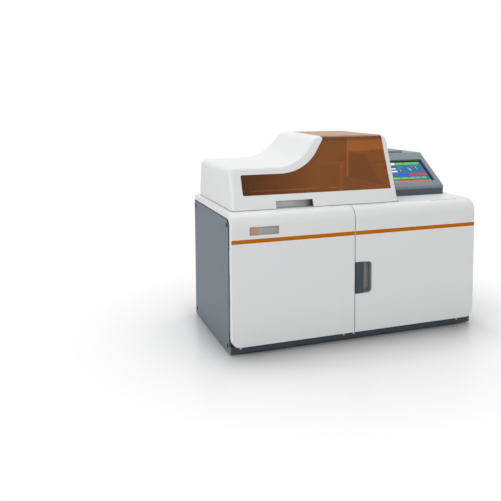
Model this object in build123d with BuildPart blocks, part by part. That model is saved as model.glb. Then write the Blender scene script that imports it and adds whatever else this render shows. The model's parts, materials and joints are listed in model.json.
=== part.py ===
from build123d import *
from math import acos, atan2, cos, degrees, hypot, radians, sin
import os

# Benchtop chemistry analyzer. Millimetres, +Z up, origin on the bench under the middle of the machine.
# The doors face -Y, the hood hinges at the rear, and the operator console stands on the right.

# ---- Cabinet ----
width = 850
depth = 476
deck_height = 432  # top of the deck and of the doors' rolled edge
foot_height = 4
foot_radius = 16
foot_inset = 60
foot_chamfer = 1
tray_floor = 3
plinth_recess = 20  # plinth face, back from the doors' front
plinth_height = 22
plinth_depth = 22
plinth_joints = (25, 10)  # from the left side, and left of the doors' seam
plinth_joint = (0.8, 0.6)  # width and depth of each joint line
plinth_wall = 2
panel_thickness = 3
panel_corner = 26
back_thickness = 2
back_margin = 4  # rear panel, in from the deck's rear edge
screw_margin = 20
screw_head = 6
screw_proud = 1.2
plinth_screw_ends = (32, 52)  # in from the left and the right side
plinth_screw_seam = (-30, 5)  # beside the doors' seam
plinth_screw_drop = 7  # below the plinth's top
divider_thickness = 2
divider_height = 300
divider_window = (50, 150, 80)  # width, height, and lift off the floor
post_size = 27
post_wall = 3
rail_size = 20
touch = 0.3  # clearance between curved or moving neighbours

# ---- Rear panel ----
fan_place = (150, 290)
fan_size = 80
fan_depth = 25
fan_rim = 3
fan_hub = 17
fan_shaft = 3
fan_blades = 7
fan_blade = 2
fan_chord = 20
fan_pitch_angle = 35
fan_tip_gap = 1.5  # blade tips to the duct
fan_root = 1  # how far a blade runs into the hub
fan_bar_margin = 1  # ends of the bar across the duct, in from the housing's sides
inlet_place = (90, 60)  # from the right side and the tray's floor
inlet_size = (32, 56)
inlet_rim = 4
inlet_flange = 2
inlet_body = 28
socket_size = (24, 18)
socket_depth = 18
contact_places = ((-7, 6), (7, 6), (0, 11))  # from the socket's middle, and above its lower edge
contact_size = (2, 4)
contact_recess = 5  # tips, in from the mouth
rocker_bay = 22
rocker_pin = 1.5
rocker_tilt = 7
rocker_pin_setback = 5  # pin and rocker, in from the mouth
rocker_setback = 4
rocker_thickness = 6
rocker_gaps = (2, 5)  # bay less rocker, across and up
rocker_pin_reach = 1.5  # into the bay's walls
rocker_pin_hole = 2
vent_place = (270, 220)
vent_size = (60, 4)
vent_space = (14, 6)
vent_rows = 9

# ---- Electronics, pumps and bottles ----
supply_place = (60, 60)
supply_size = (210, 100, 80)
supply_corner = 2
supply_vents = (8, 4)  # rows across and back
supply_vent_radius = 2.5
supply_vent_depth = 3
board_size = (260, 180)
board_margin = 40
board_lift = 90
board_gap = 8
board_thickness = 1.6
board_stud = 3
board_stud_margin = 6
chip_grid = (4, 3)  # along and up the board
chip_margin = (20, 18)
chip_sides = (16, 26)  # small and large chips take turns
chip_height = 4
chip_step = 3  # each of three columns stands this much prouder
pump_place = (150, 214)  # back from the front, and below the deck
pump_size = (42, 60)
pump_track = 26
pump_shaft = 4
pump_roller_length = 16
pump_corner = 6
pump_wall = 4
pump_mouth = 1.2  # height of the opening below the track, in track radii
pump_rollers = 3
pump_roller = 6
pump_roller_setback = 10
pump_plate = 3
syringe_place = (250, 250)  # back from the front, and the barrel's foot below the deck
syringe_standoff = 24
syringe_frame = (40, 5)  # width and thickness of its plate
syringe_arm = 10
barrel_radius = 9
barrel_length = 90
plunger_radius = 6
plunger_travel = 55
bottle_places = (510, 670)
bottle_setback = 110
bottle_size = (110, 150, 190)
bottle_corner = 14
bottle_wall = 2.5
bottle_neck = 20

# ---- Doors ----
door_split = 404  # from the left side to the seam between the doors
door_bottom = 28
door_depth = 18
door_roll = 40
door_reach = 48  # how far the rolled edge runs back over the deck
door_wall = 4
door_corner = 27
door_edge_radius = 3
seam_gap = 2
deck_gap = 1
liner_thickness = 2
stripe_drop = 90  # from the deck's top to the stripe's foot
stripe_height = 12.3
stripe_depth = 1.2
badge_size = (92, 25.5)
badge_corner = (57, 67)  # from the left side, and below the deck's top
badge_depth = 1
grip_width = 30
grip_thickness = 4
cup_width = 58
cup_height = 102
cup_drop = 279  # from the deck's top to the recess's foot
cup_corner = 13
cup_wall = 2.5
cup_depth = 23
groove_size = (98, 9)
groove_depth = 2.5
groove_offsets = (73, 343)  # right door's seam edge to each groove's centre
groove_setback = 34

# ---- Door hinges ----
hinge_height = 66
hinge_drops = (320, 145)  # from the deck's top to each hinge's middle
hinge_leaf = 2
hinge_leaf_width = 24
knuckle_radius = 3.5
hinge_pin_radius = 1.6
running_gap = 0.05
knuckle_gap = 0.3
pin_inset = 4
magnet_height = 10

# ---- Deck and work area ----
deck_wall = 4
deck_skirt = 18
deck_corner = 12
deck_edge_radius = 4
pan_left = 40
pan_front = 82
pan_width = 520
pan_rear_margin = 44  # in from the deck's rear edge
pan_wall = 2
pan_depth = 28
pan_lip = 10
pan_lip_thickness = 1

# ---- Hood ----
hood_gap = 1.6
hood_left = 16
hood_right = 584
hood_front = 44
hood_rear_margin = 18  # in from the deck's rear edge
hood_wall = 4
hood_low = 126  # low roof and high roof, above the deck
hood_high = 216
hood_lean = 0.43  # setback of the front per unit of height
hood_side_lean = 5
low_corner = 18
high_corner = 24
rise_start = 175
rise_angle = 47
rise_radius = 143
crown_radius = 41
hood_edge_radius = 14
hood_rear_radius = 7
window_left = 56
window_right = 563
window_bottom = 43  # above the deck
window_low_top = 104
window_rise_start = 186
window_rise_radius = 168
window_rise_angle = 54
window_tip = (344, 202)
window_corner = 5
roof_window_left = 342
roof_window_skew = 20
window_roof_low = 170
frame_strip = 22
hood_rear_frame = 8
notch_left = 157
notch_width = 124
notch_height = 24
pocket_depth = 16
pocket_wall = 2
hood_hinge_width = 60
hood_hinge_places = (80, 460)
bumper_places = (80, 460)
bumper_length = 18
bumper_setback = 1.5  # back from the hood's front
hood_knuckle_radius = 4.5
hood_pin_radius = 2.5
hood_pin_height = 8
hood_pin_setback = 7

# ---- Console ----
console_left = 592
screen_centre = 706
console_right = 829
console_length = 298
console_rear_margin = 20
base_height = 22
console_height = 136
face_foot = (12, 39)  # where the sloped face starts: back from the front, above the deck
face_head = 159
console_wall = 3
console_corner = 7
console_edge = 5
lip_height = 8
screen_size = (204, 122)
screen_glass = 4
screen_border = 4
screen_recess = 7
screen_start = 14
bay_left = 668
bay_size = (90, 88)
bay_front = 174
bay_depth = 52
bay_wall = 2
cover_height = 9
cover_lap = 4
cover_corner = 8
cover_crown = 5
cover_wall = 2.5
cover_tongue = 0.28  # half width of the cover's hinge tongue, as a share of the bay's width
cover_pin_radius = 2
cover_knuckle = 3.4
cover_pin_setback = 5
cover_pin_height = 4.5
paper_radius = 20
paper_width = 57
core_radius = 6
journal_radius = 2.5
platen_radius = 6

# ---- Disks under the hood ----
reaction_centre = (190, 176)  # in from the deck's left and rear edges
sample_centre = (420, 161)
disk_radius = 100
disk_thickness = 4
cuvette_ring = 90
cuvette_count = 40
cuvette_outer = 8
cuvette_inner = 6
cuvette_height = 24
tube_ring = 88
tube_count = 24
tube_radius = 7
tube_bore = 6
tube_height = 24
bottle_ring = 56
bottle_count = 12
bottle_radius = 11.5
bottle_height = 22
bottle_cap_radius = 7
hub_radius = 18
cup_floor = 1.5
spindle_shaft = 6
bearing_radius = 14
bearing_height = 16
pulley_radius = 36
motor_pulley_radius = 12
pulley_height = 10
belt_thickness = 1.5
motor_offset = 75
motor_size = 42
motor_shaft = 2.5

# ---- Probe, stirrer and wash head ----
probe_column = (430, 310)  # in from the deck's left and rear edges
probe_reach = 190
probe_bearing = 132  # direction of the arm over its wash well
stirrer_column = (95, 326)
stirrer_bearing = -5
column_radius = 6
column_guide = 12
arm_width = 20
arm_height = 14
probe_arm_level = 112
stirrer_arm_level = 66
guide_length = 24
carriage_height = 14
collar_height = 4
rail_offset = 30
rail_radius = 4
paddle_size = (4, 1, 8)  # width, thickness and height
needle_radius = 1.2
needle_tip = 16  # above the deck when raised
probe_travel = 30
well_radius = 8
well_bore = 5
wash_post = (62, 176)
wash_post_radius = 5
wash_level = 52
wash_travel = 22
wash_first = 20
wash_needles = 4
stirrer_pitches = 9

left = -width / 2
right = width / 2
front = -depth / 2
back = depth / 2
seam = left + door_split
deck_under = deck_height - deck_skirt
frame_top = deck_height - deck_wall
post_top = deck_under - 1
roll_start = deck_height - door_roll
door_back = front + door_depth
pin_setback = knuckle_radius + 0.5  # hinge axis, off the door's back and off the post
pin_y = door_back + pin_setback
post_front = pin_y + pin_setback
panel_front = post_front + 2
panel_back = back - back_margin
post_back = panel_back - back_thickness
tray_top = foot_height + plinth_height
floor_top = foot_height + tray_floor
pan_floor = deck_height - pan_depth
cup_bottom = deck_height - cup_drop
hood_back = depth - hood_rear_margin
pieces = {}


def block(x, y, z, mode=Mode.ADD):
    """Box between two limits along each axis."""
    with Locations(((x[0] + x[1]) / 2, (y[0] + y[1]) / 2, (z[0] + z[1]) / 2)):
        return Box(x[1] - x[0], y[1] - y[0], z[1] - z[0], mode=mode)


def rod_z(centre, radius, z, mode=Mode.ADD):
    """Upright cylinder at (x, y) between two heights."""
    with Locations((centre[0], centre[1], (z[0] + z[1]) / 2)):
        return Cylinder(radius, z[1] - z[0], mode=mode)


def rod_x(x, centre, radius, mode=Mode.ADD):
    """Cylinder along X, its axis at (y, z)."""
    with Locations(((x[0] + x[1]) / 2, centre[0], centre[1])):
        return Cylinder(radius, x[1] - x[0], rotation=(0, 90, 0), mode=mode)


def rod_y(y, centre, radius, mode=Mode.ADD):
    """Cylinder along Y, its axis at (x, z)."""
    with Locations((centre[0], (y[0] + y[1]) / 2, centre[1])):
        return Cylinder(radius, y[1] - y[0], rotation=(90, 0, 0), mode=mode)


def place(point):
    """Point measured from the deck's left and rear edges, in the model's frame."""
    return (left + point[0], back - point[1])


# ---- Base, feet and frame ----
tray_x = (left + panel_thickness, right - panel_thickness)
tray_y = (front + plinth_recess, post_back)
with BuildPart() as base_tray:
    block(tray_x, tray_y, (foot_height, tray_top))
    inner_x = (tray_x[0] + plinth_wall, tray_x[1] - plinth_wall)
    inner_y = (tray_y[0] + plinth_depth, tray_y[1] - plinth_wall)
    block(inner_x, inner_y, (floor_top, tray_top), Mode.SUBTRACT)
    hollow_y = (tray_y[0] + plinth_wall, inner_y[0] - plinth_wall)
    block(inner_x, hollow_y, (foot_height, tray_top - plinth_wall), Mode.SUBTRACT)
    for x in (left + plinth_joints[0], seam - plinth_joints[1]):
        block((x, x + plinth_joint[0]), (tray_y[0], tray_y[0] + plinth_joint[1]), (foot_height, tray_top),
              Mode.SUBTRACT)
pieces["base_tray"] = base_tray

bumper_y = (front + hood_front + bumper_setback, front + hood_front + hood_wall)
with BuildPart() as rubber_pads:
    with Locations((0, 0, foot_height / 2)):
        with GridLocations(width - 2 * foot_inset, depth - 2 * foot_inset, 2, 2):
            Cylinder(foot_radius, foot_height)
    chamfer(rubber_pads.edges().group_by(Axis.Z)[0], foot_chamfer)
    for x in bumper_places:
        block((left + x, left + x + bumper_length), bumper_y, (deck_height, deck_height + hood_gap))
pieces["rubber_pads"] = rubber_pads

rail_front = front + door_reach + deck_gap + deck_wall
rail_back = back - deck_corner
rail_z = (post_top - post_wall, frame_top)
web_x = (left + panel_thickness, left + panel_thickness + post_wall)
post_x = (left + panel_thickness, left + panel_thickness + post_size)
with BuildPart() as chassis_frame:
    block(post_x, (post_front, post_front + post_wall), (tray_top, roll_start))
    block(web_x, (post_front, rail_front + rail_size), (tray_top, roll_start))
    block(web_x, (rail_front, rail_front + rail_size), (roll_start, post_top))
    block(post_x, (post_back - post_wall, post_back), (tray_top, post_top))
    block(web_x, (post_back - post_size, post_back), (tray_top, post_top))
    block((left + deck_wall, left + deck_wall + rail_size), (rail_front, rail_back), rail_z)
    mirror(about=Plane.YZ)
    for rail_y in ((rail_front, rail_front + rail_size), (rail_back - rail_size, rail_back)):
        block((left + deck_wall, right - deck_wall), rail_y, rail_z)
    block((seam - post_size / 2, seam + post_size / 2), (post_front, post_front + post_wall),
          (tray_top, roll_start))
    web_x = (seam - post_wall / 2, seam + post_wall / 2)
    block(web_x, (post_front, rail_front + rail_size), (tray_top, roll_start))
    block(web_x, (rail_front, rail_front + rail_size), (roll_start, post_top))
    for side in (-1, 1):
        magnet_x = sorted((seam + side * (seam_gap + 1), seam + side * post_size / 2))
        block(magnet_x, (door_back + touch, post_front), (roll_start - magnet_height, roll_start))
pieces["chassis_frame"] = chassis_frame


def side_panel(side):
    """Side sheet: a rounded corner behind the doors' rolled edge, and a toe up to the plinth's face."""
    corner = (panel_front + panel_corner, post_top - panel_corner)
    with BuildPart() as panel:
        with BuildSketch(Plane.YZ.offset(side * width / 2)):
            with BuildLine():
                arc = CenterArc(corner, panel_corner, 90, 90)
                Polyline(arc @ 1, (panel_front, tray_top), (tray_y[0], tray_top), (tray_y[0], foot_height),
                         (panel_back, foot_height), (panel_back, post_top), arc @ 0)
            make_face()
        extrude(amount=-side * panel_thickness)
    return panel


pieces["left_side_panel"] = side_panel(-1)
pieces["right_side_panel"] = side_panel(1)

screw_y = (panel_front + screw_margin, panel_back - screw_margin)
screw_z = (foot_height + screw_margin, post_top - screw_margin)
with BuildPart() as case_screws:
    for y in screw_y:
        for z in screw_z:
            rod_x((right, right + screw_proud), (y, z), screw_head)
    mirror(about=Plane.YZ)
    beside_seam = [seam + step for step in plinth_screw_seam]
    for x in (left + plinth_screw_ends[0], *beside_seam, right - plinth_screw_ends[1]):
        rod_y((tray_y[0] - screw_proud, tray_y[0]), (x, tray_top - plinth_screw_drop), screw_head / 2)
pieces["case_screws"] = case_screws

bay_y = (rail_front + rail_size, inner_y[1])
divider_x = (seam - divider_thickness / 2, seam + divider_thickness / 2)
with BuildPart() as bay_divider:
    block(divider_x, bay_y, (floor_top, floor_top + divider_height))
    window_middle = floor_top + divider_window[1] / 2 + divider_window[2]
    with Locations((seam, bay_y[1] - divider_window[0], window_middle)):
        Box(divider_thickness, divider_window[0], divider_window[1], mode=Mode.SUBTRACT)
pieces["bay_divider"] = bay_divider

# ---- Rear panel, fan and power inlet ----
fan_centre = (left + fan_place[0], floor_top + fan_place[1])
inlet_x = (right - inlet_place[0] - inlet_size[0], right - inlet_place[0])
inlet_z = (floor_top + inlet_place[1], floor_top + inlet_place[1] + inlet_size[1])
vent_pitch = (vent_size[0] + vent_space[0], vent_size[1] + vent_space[1])
with BuildPart() as back_panel:
    block((left + panel_thickness, right - panel_thickness), (post_back, panel_back), (floor_top, post_top))
    rod_y((post_back, panel_back), fan_centre, fan_size / 2 - fan_rim, Mode.SUBTRACT)
    block(inlet_x, (post_back, panel_back), inlet_z, Mode.SUBTRACT)
    with Locations((right - vent_place[0], panel_back - back_thickness / 2, floor_top + vent_place[1])):
        slots = [(i * vent_pitch[0], 0, j * vent_pitch[1]) for i in range(-1, 2) for j in range(vent_rows)]
        with Locations(*slots):
            Box(vent_size[0], back_thickness, vent_size[1], mode=Mode.SUBTRACT)
pieces["back_panel"] = back_panel

with BuildPart() as fan_housing:
    with Locations((fan_centre[0], post_back - fan_depth / 2, fan_centre[1])):
        Box(fan_size, fan_depth, fan_size)
        Cylinder(fan_size / 2 - fan_rim, fan_depth, rotation=(90, 0, 0), mode=Mode.SUBTRACT)
    fillet(fan_housing.edges().filter_by(Axis.Y).group_by(Axis.X)[0], fan_rim)
    fillet(fan_housing.edges().filter_by(Axis.Y).group_by(Axis.X)[-1], fan_rim)
    spider_y = (post_back - fan_depth, post_back - fan_depth + fan_rim)
    bar_reach = fan_size / 2 - fan_bar_margin
    block((fan_centre[0] - bar_reach, fan_centre[0] + bar_reach), spider_y,
          (fan_centre[1] - fan_rim, fan_centre[1] + fan_rim))
    rod_y((spider_y[0], post_back - fan_rim), fan_centre, fan_shaft)
pieces["fan_housing"] = fan_housing

blade_length = fan_size / 2 - fan_rim - fan_hub - fan_tip_gap
with BuildPart() as fan_rotor:
    rotor_y = (spider_y[1] + touch, post_back - fan_rim)
    rod_y(rotor_y, fan_centre, fan_hub)
    with Locations((fan_centre[0], (rotor_y[0] + rotor_y[1]) / 2, fan_centre[1])):
        for turn in range(fan_blades):
            angle = 360 / fan_blades * turn
            with Locations(Location((0, 0, 0), (0, angle, 0))):
                blade_middle = fan_hub - fan_root + blade_length / 2
                with Locations(Location((blade_middle, 0, 0), (fan_pitch_angle, 0, 0))):
                    Box(blade_length, fan_blade, fan_chord)
    rod_y(rotor_y, fan_centre, fan_shaft + running_gap, Mode.SUBTRACT)
pieces["fan_rotor"] = fan_rotor

inlet_mid = (inlet_x[0] + inlet_x[1]) / 2
inlet_deep = (post_back - inlet_body, panel_back)
socket_z = (inlet_z[0] + inlet_rim, inlet_z[0] + inlet_rim + socket_size[1])
rocker_mid = inlet_z[1] - inlet_rim - rocker_bay / 2
with BuildPart() as power_inlet:
    block(inlet_x, inlet_deep, inlet_z)
    block((inlet_x[0] - inlet_rim, inlet_x[1] + inlet_rim), (panel_back, panel_back + inlet_flange),
          (inlet_z[0] - inlet_rim, inlet_z[1] + inlet_rim))
    mouth = panel_back + inlet_flange
    block((inlet_mid - socket_size[0] / 2, inlet_mid + socket_size[0] / 2), (mouth - socket_depth, mouth),
          socket_z, Mode.SUBTRACT)
    for x, z in contact_places:
        contact_x = (inlet_mid + x - contact_size[0] / 2, inlet_mid + x + contact_size[0] / 2)
        contact_z = (socket_z[0] + z - contact_size[1] / 2, socket_z[0] + z + contact_size[1] / 2)
        block(contact_x, (mouth - socket_depth, mouth - contact_recess), contact_z)
    block((inlet_mid - rocker_bay / 2, inlet_mid + rocker_bay / 2), (mouth - rocker_bay / 2, mouth),
          (rocker_mid - rocker_bay / 2, rocker_mid + rocker_bay / 2), Mode.SUBTRACT)
    hole_reach = rocker_bay / 2 + rocker_pin_hole
    rod_x((inlet_mid - hole_reach, inlet_mid + hole_reach), (mouth - rocker_pin_setback, rocker_mid),
          rocker_pin + running_gap, Mode.SUBTRACT)
pieces["power_inlet"] = power_inlet

with BuildPart() as power_switch:
    with Locations(Location((inlet_mid, mouth - rocker_setback, rocker_mid), (rocker_tilt, 0, 0))):
        Box(rocker_bay - rocker_gaps[0], rocker_thickness, rocker_bay - rocker_gaps[1])
    pin_reach = rocker_bay / 2 + rocker_pin_reach
    rod_x((inlet_mid - pin_reach, inlet_mid + pin_reach), (mouth - rocker_pin_setback, rocker_mid),
          rocker_pin)
pieces["power_switch"] = power_switch

# ---- Electronics in the left bay ----
with BuildPart() as power_supply:
    supply_x = (left + supply_place[0], left + supply_place[0] + supply_size[0])
    supply_y = (back - supply_place[1] - supply_size[1], back - supply_place[1])
    block(supply_x, supply_y, (floor_top, floor_top + supply_size[2]))
    fillet(power_supply.edges().filter_by(Axis.Z), supply_corner)
    supply_middle = (supply_x[0] + supply_size[0] / 2, supply_y[0] + supply_size[1] / 2)
    with Locations((*supply_middle, floor_top + supply_size[2])):
        with GridLocations(supply_size[0] / (supply_vents[0] + 2), supply_size[1] / (supply_vents[1] + 1),
                           *supply_vents):
            Cylinder(supply_vent_radius, supply_vent_depth, mode=Mode.SUBTRACT)
pieces["power_supply"] = power_supply

board_x = (divider_x[0] - board_gap - board_thickness, divider_x[0] - board_gap)
board_y = (bay_y[0] + board_margin, bay_y[0] + board_margin + board_size[0])
board_z = (floor_top + board_lift, floor_top + board_lift + board_size[1])
with BuildPart() as main_board:
    block(board_x, board_y, board_z)
    for y in (board_y[0] + board_stud_margin, board_y[1] - board_stud_margin):
        for z in (board_z[0] + board_stud_margin, board_z[1] - board_stud_margin):
            rod_x((board_x[1], divider_x[0]), (y, z), board_stud)
    chip_pitch = [(board_size[i] - 2 * chip_margin[i]) / chip_grid[i] for i in (0, 1)]
    for row in range(chip_grid[1]):
        for column in range(chip_grid[0]):
            chip_y = board_y[0] + chip_margin[0] + column * chip_pitch[0]
            chip_z = board_z[0] + chip_margin[1] + row * chip_pitch[1]
            chip_side = chip_sides[(row + column) % 2]
            chip_face = board_x[0] - chip_height - chip_step * (column % 3)
            block((chip_face, board_x[0]), (chip_y, chip_y + chip_side), (chip_z, chip_z + chip_side))
pieces["main_board"] = main_board

# ---- Pumps and bottles in the right bay ----
pump_axis = (front + pump_place[0], deck_height - pump_place[1])
pump_face = divider_x[1] + pump_size[0]
with BuildPart() as pump_body:
    block((divider_x[1], pump_face), (pump_axis[0] - pump_size[1] / 2, pump_axis[0] + pump_size[1] / 2),
          (pump_axis[1] - pump_size[1] / 2, pump_axis[1] + pump_size[1] / 2))
    fillet(pump_body.edges().filter_by(Axis.X), pump_corner)
    with BuildSketch(Plane.YZ.offset(pump_face)):
        with Locations(pump_axis):
            Circle(pump_track + pump_wall)
            Circle(pump_track, mode=Mode.SUBTRACT)
            with Locations((0, -pump_track)):
                Rectangle(2 * pump_track, pump_mouth * pump_track, mode=Mode.SUBTRACT)
    extrude(amount=pump_roller_length + 3)
    rod_x((divider_x[1], pump_face), pump_axis, pump_shaft + running_gap, Mode.SUBTRACT)
pieces["pump_body"] = pump_body

with BuildPart() as pump_rotor:
    rod_x((divider_x[1] + 2, pump_face + pump_roller_length), pump_axis, pump_shaft)
    rod_x((pump_face + 1, pump_face + 1 + pump_plate), pump_axis, pump_track - 6)
    for number in range(pump_rollers):
        turn = radians(360 / pump_rollers * number)
        roller_reach = pump_track - pump_roller_setback
        roller = (pump_axis[0] + roller_reach * cos(turn), pump_axis[1] + roller_reach * sin(turn))
        rod_x((pump_face + 1, pump_face + pump_roller_length), roller, pump_roller)
pieces["pump_rotor"] = pump_rotor

syringe_axis = (divider_x[1] + syringe_standoff, front + syringe_place[0])
barrel_z = (deck_height - syringe_place[1], deck_height - syringe_place[1] + barrel_length)
with BuildPart() as syringe_barrel:
    frame_span = (syringe_axis[1] - syringe_frame[0] / 2, syringe_axis[1] + syringe_frame[0] / 2)
    frame_face = divider_x[1] + syringe_frame[1]
    block((divider_x[1], frame_face), frame_span, (barrel_z[0] - plunger_travel - 30, barrel_z[1] + 10))
    for z in (barrel_z[0] + 4, barrel_z[1] - syringe_arm - 4):
        block((frame_face, syringe_axis[0] + barrel_radius + 4), frame_span, (z, z + syringe_arm))
    rod_z(syringe_axis, barrel_radius, barrel_z)
    rod_z(syringe_axis, plunger_radius + running_gap, (barrel_z[0], barrel_z[1] - 4), Mode.SUBTRACT)
    rod_z(syringe_axis, 3, (barrel_z[1], barrel_z[1] + 12))
    rod_z(syringe_axis, 1, (barrel_z[1] - 4, barrel_z[1] + 12), Mode.SUBTRACT)
pieces["syringe_barrel"] = syringe_barrel

with BuildPart() as syringe_plunger:
    rod_z(syringe_axis, plunger_radius, (barrel_z[1] - 14, barrel_z[1] - 5))
    rod_z(syringe_axis, 3, (barrel_z[0] - 16, barrel_z[1] - 14))
    rod_z(syringe_axis, barrel_radius, (barrel_z[0] - 20, barrel_z[0] - 16))
pieces["syringe_plunger"] = syringe_plunger


def bottle(low_x):
    """Blow-moulded bottle with a round neck, standing on the tray."""
    x = (left + low_x, left + low_x + bottle_size[0])
    y = (front + bottle_setback, front + bottle_setback + bottle_size[1])
    neck = ((x[0] + x[1]) / 2, (y[0] + y[1]) / 2)
    top = floor_top + bottle_size[2]
    with BuildPart() as shell:
        block(x, y, (floor_top, top))
        fillet(shell.edges().filter_by(Axis.Z), bottle_corner)
        fillet(shell.edges().group_by(Axis.Z)[-1], bottle_corner / 2)
        rod_z(neck, bottle_neck, (top, top + bottle_neck))
        inner = [(v[0] + bottle_wall, v[1] - bottle_wall) for v in (x, y)]
        block(inner[0], inner[1], (floor_top + bottle_wall, top - 2 * bottle_wall), Mode.SUBTRACT)
        rod_z(neck, bottle_neck - bottle_wall, (top - 2 * bottle_wall, top + bottle_neck), Mode.SUBTRACT)
    with BuildPart() as cap:
        rod_z(neck, bottle_neck + 3, (top + 2, top + bottle_neck + 4))
        rod_z(neck, bottle_neck + 0.1, (top + 2, top + bottle_neck), Mode.SUBTRACT)
    return shell, cap


with BuildPart() as bottles:
    for shape in bottle(bottle_places[0]) + bottle(bottle_places[1]):
        add(shape)
pieces["bottles"] = bottles


# ---- Doors ----
pin = (left + pin_inset, pin_y)
leaf_x = (pin[0], pin[0] + hinge_leaf_width)
knuckle_clear = knuckle_radius + 0.5
knuckle_y = (pin[1] - knuckle_clear, pin[1] + knuckle_clear)
hinge_levels = [deck_height - drop for drop in hinge_drops]
hinge_spans = [(level - hinge_height / 2, level + hinge_height / 2) for level in hinge_levels]


def door_block(x, side, inset, back_cut):
    """Door-shaped solid: flat front, top rolled back over the deck, one round bottom corner."""
    roll = (front + door_roll, deck_height - door_roll)
    inner = door_roll - door_depth - back_cut
    low_z = door_bottom + inset
    reach_y = front + door_reach - inset
    with BuildPart() as solid:
        with BuildSketch(Plane.YZ.offset(x[0] + inset)):
            with BuildLine():
                outside = CenterArc(roll, door_roll - inset, 90, 90)
                inside = CenterArc(roll, inner, 90, 90)
                Polyline(outside @ 1, (front + inset, low_z), (roll[0] - inner, low_z), inside @ 1)
                Polyline(outside @ 0, (reach_y, deck_height - inset), (reach_y, roll[1] + inner), inside @ 0)
            make_face()
        extrude(amount=x[1] - x[0] - 2 * inset)
        bottom = solid.edges().filter_by(Axis.Y).group_by(Axis.Z)[0].sort_by(Axis.X)
        fillet(bottom[0] if side < 0 else bottom[-1], door_corner - inset)
    return solid


def door_skin(x, side):
    """Moulded door shell, open at the back, with softened front edges and a groove for its stripe."""
    with BuildPart() as skin:
        add(door_block(x, side, 0, 0))
        face = skin.faces().filter_by(Axis.Y).sort_by(Axis.Y)[0]
        arcs = skin.edges().filter_by(GeomType.CIRCLE)
        roll_ends = arcs.filter_by(lambda e: abs(e.radius - door_roll) < touch)
        top_ends = skin.faces().filter_by(Axis.Z).sort_by(Axis.Z)[-1].edges().filter_by(Axis.Y)
        fillet(face.edges().sort_by(Axis.Z)[:-1] + roll_ends + top_ends, door_edge_radius)
        add(door_block(x, side, door_wall, 1), mode=Mode.SUBTRACT)
        block(x, (front, front + stripe_depth), stripe_z, Mode.SUBTRACT)
    return skin


def door_liner(x, side):
    """Sheet that closes the back of the door, with the moving leaves of its hinges."""
    clear = door_wall + touch
    with BuildPart() as liner:
        block((x[0] + clear, x[1] - clear), (door_back - liner_thickness, door_back),
              (door_bottom + clear, deck_height - door_roll))
        bottom = liner.edges().filter_by(Axis.Y).group_by(Axis.Z)[0].sort_by(Axis.X)
        fillet(bottom[0] if side < 0 else bottom[-1], door_corner - clear)
        axis = (-side * pin[0], pin[1])
        for low, high in hinge_spans:
            third = (high - low) / 3
            moving_x = sorted((-side * leaf_x[0], -side * leaf_x[1]))
            block(moving_x, (door_back, door_back + hinge_leaf), (low, high))
            for z in ((low, low + third), (high - third, high)):
                block(sorted(axis[0] + i * knuckle_clear for i in (-1, 1)), knuckle_y, z, Mode.SUBTRACT)
            rod_z(axis, knuckle_radius, (low + third, high - third))
            rod_z(axis, hinge_pin_radius + running_gap, (low, high), Mode.SUBTRACT)
    return liner


def door_stripe(x):
    """Coloured band let into the door's front."""
    with BuildPart() as stripe:
        block((x[0] + stripe_depth, x[1] - stripe_depth), (front, front + stripe_depth), stripe_z)
        fillet(stripe.edges().filter_by(Axis.Z).group_by(Axis.Y)[0], stripe_depth * 0.9)
    return stripe


def cup_block(grow, y):
    """Outline of the handle cup between two depths, square at the seam and round at the far side."""
    with BuildPart() as solid:
        block((right_door_x[0] - grow, seam + cup_width + grow), y,
              (cup_bottom - grow, cup_bottom + cup_height + grow))
        fillet(solid.edges().filter_by(Axis.Y).group_by(Axis.X)[-1], cup_corner + grow)
    return solid


stripe_z = (deck_height - stripe_drop, deck_height - stripe_drop + stripe_height)
left_door_x = (left, seam - seam_gap / 2)
right_door_x = (seam + seam_gap / 2, right)
badge_x = (left + badge_corner[0], left + badge_corner[0] + badge_size[0])
badge_z = (deck_height - badge_corner[1], deck_height - badge_corner[1] + badge_size[1])
with BuildPart() as left_door_skin:
    add(door_skin(left_door_x, -1))
    block(badge_x, (front, front + badge_depth), badge_z, Mode.SUBTRACT)
pieces["left_door_skin"] = left_door_skin
pieces["left_door_liner"] = door_liner(left_door_x, -1)
pieces["left_stripe"] = door_stripe(left_door_x)

with BuildPart() as badge_plate:
    block(badge_x, (front, front + badge_depth), badge_z)
pieces["badge_plate"] = badge_plate

with BuildPart() as right_door_skin:
    add(door_skin(right_door_x, 1))
    add(cup_block(touch / 2, (front, front + cup_depth)), mode=Mode.SUBTRACT)
    for offset_x in groove_offsets:
        with BuildSketch(Plane.XY.offset(deck_height)):
            with Locations((seam + offset_x, front + groove_setback)):
                SlotOverall(*groove_size)
        extrude(amount=-groove_depth, mode=Mode.SUBTRACT)
pieces["right_door_skin"] = right_door_skin
with BuildPart() as right_door_liner:
    add(door_liner(right_door_x, 1))
    add(cup_block(touch / 2, (front, front + cup_depth)), mode=Mode.SUBTRACT)
pieces["right_door_liner"] = right_door_liner
pieces["right_stripe"] = door_stripe(right_door_x)

cup_z = (cup_bottom, cup_bottom + cup_height)
with BuildPart() as handle_cup:
    add(cup_block(0, (front, front + cup_depth)))
    add(cup_block(-cup_wall, (front, front + cup_depth - cup_wall)), mode=Mode.SUBTRACT)
    block((right_door_x[0], seam + grip_width), (front, front + grip_thickness), cup_z, Mode.SUBTRACT)
pieces["handle_cup"] = handle_cup

with BuildPart() as handle_grip:
    block((right_door_x[0], seam + grip_width), (front, front + grip_thickness), cup_z)
    fillet(handle_grip.edges().filter_by(Axis.Y).group_by(Axis.X)[-1], grip_width / 5)
    fillet(handle_grip.faces().sort_by(Axis.Y)[0].edges(), 1)
pieces["handle_grip"] = handle_grip

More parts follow.
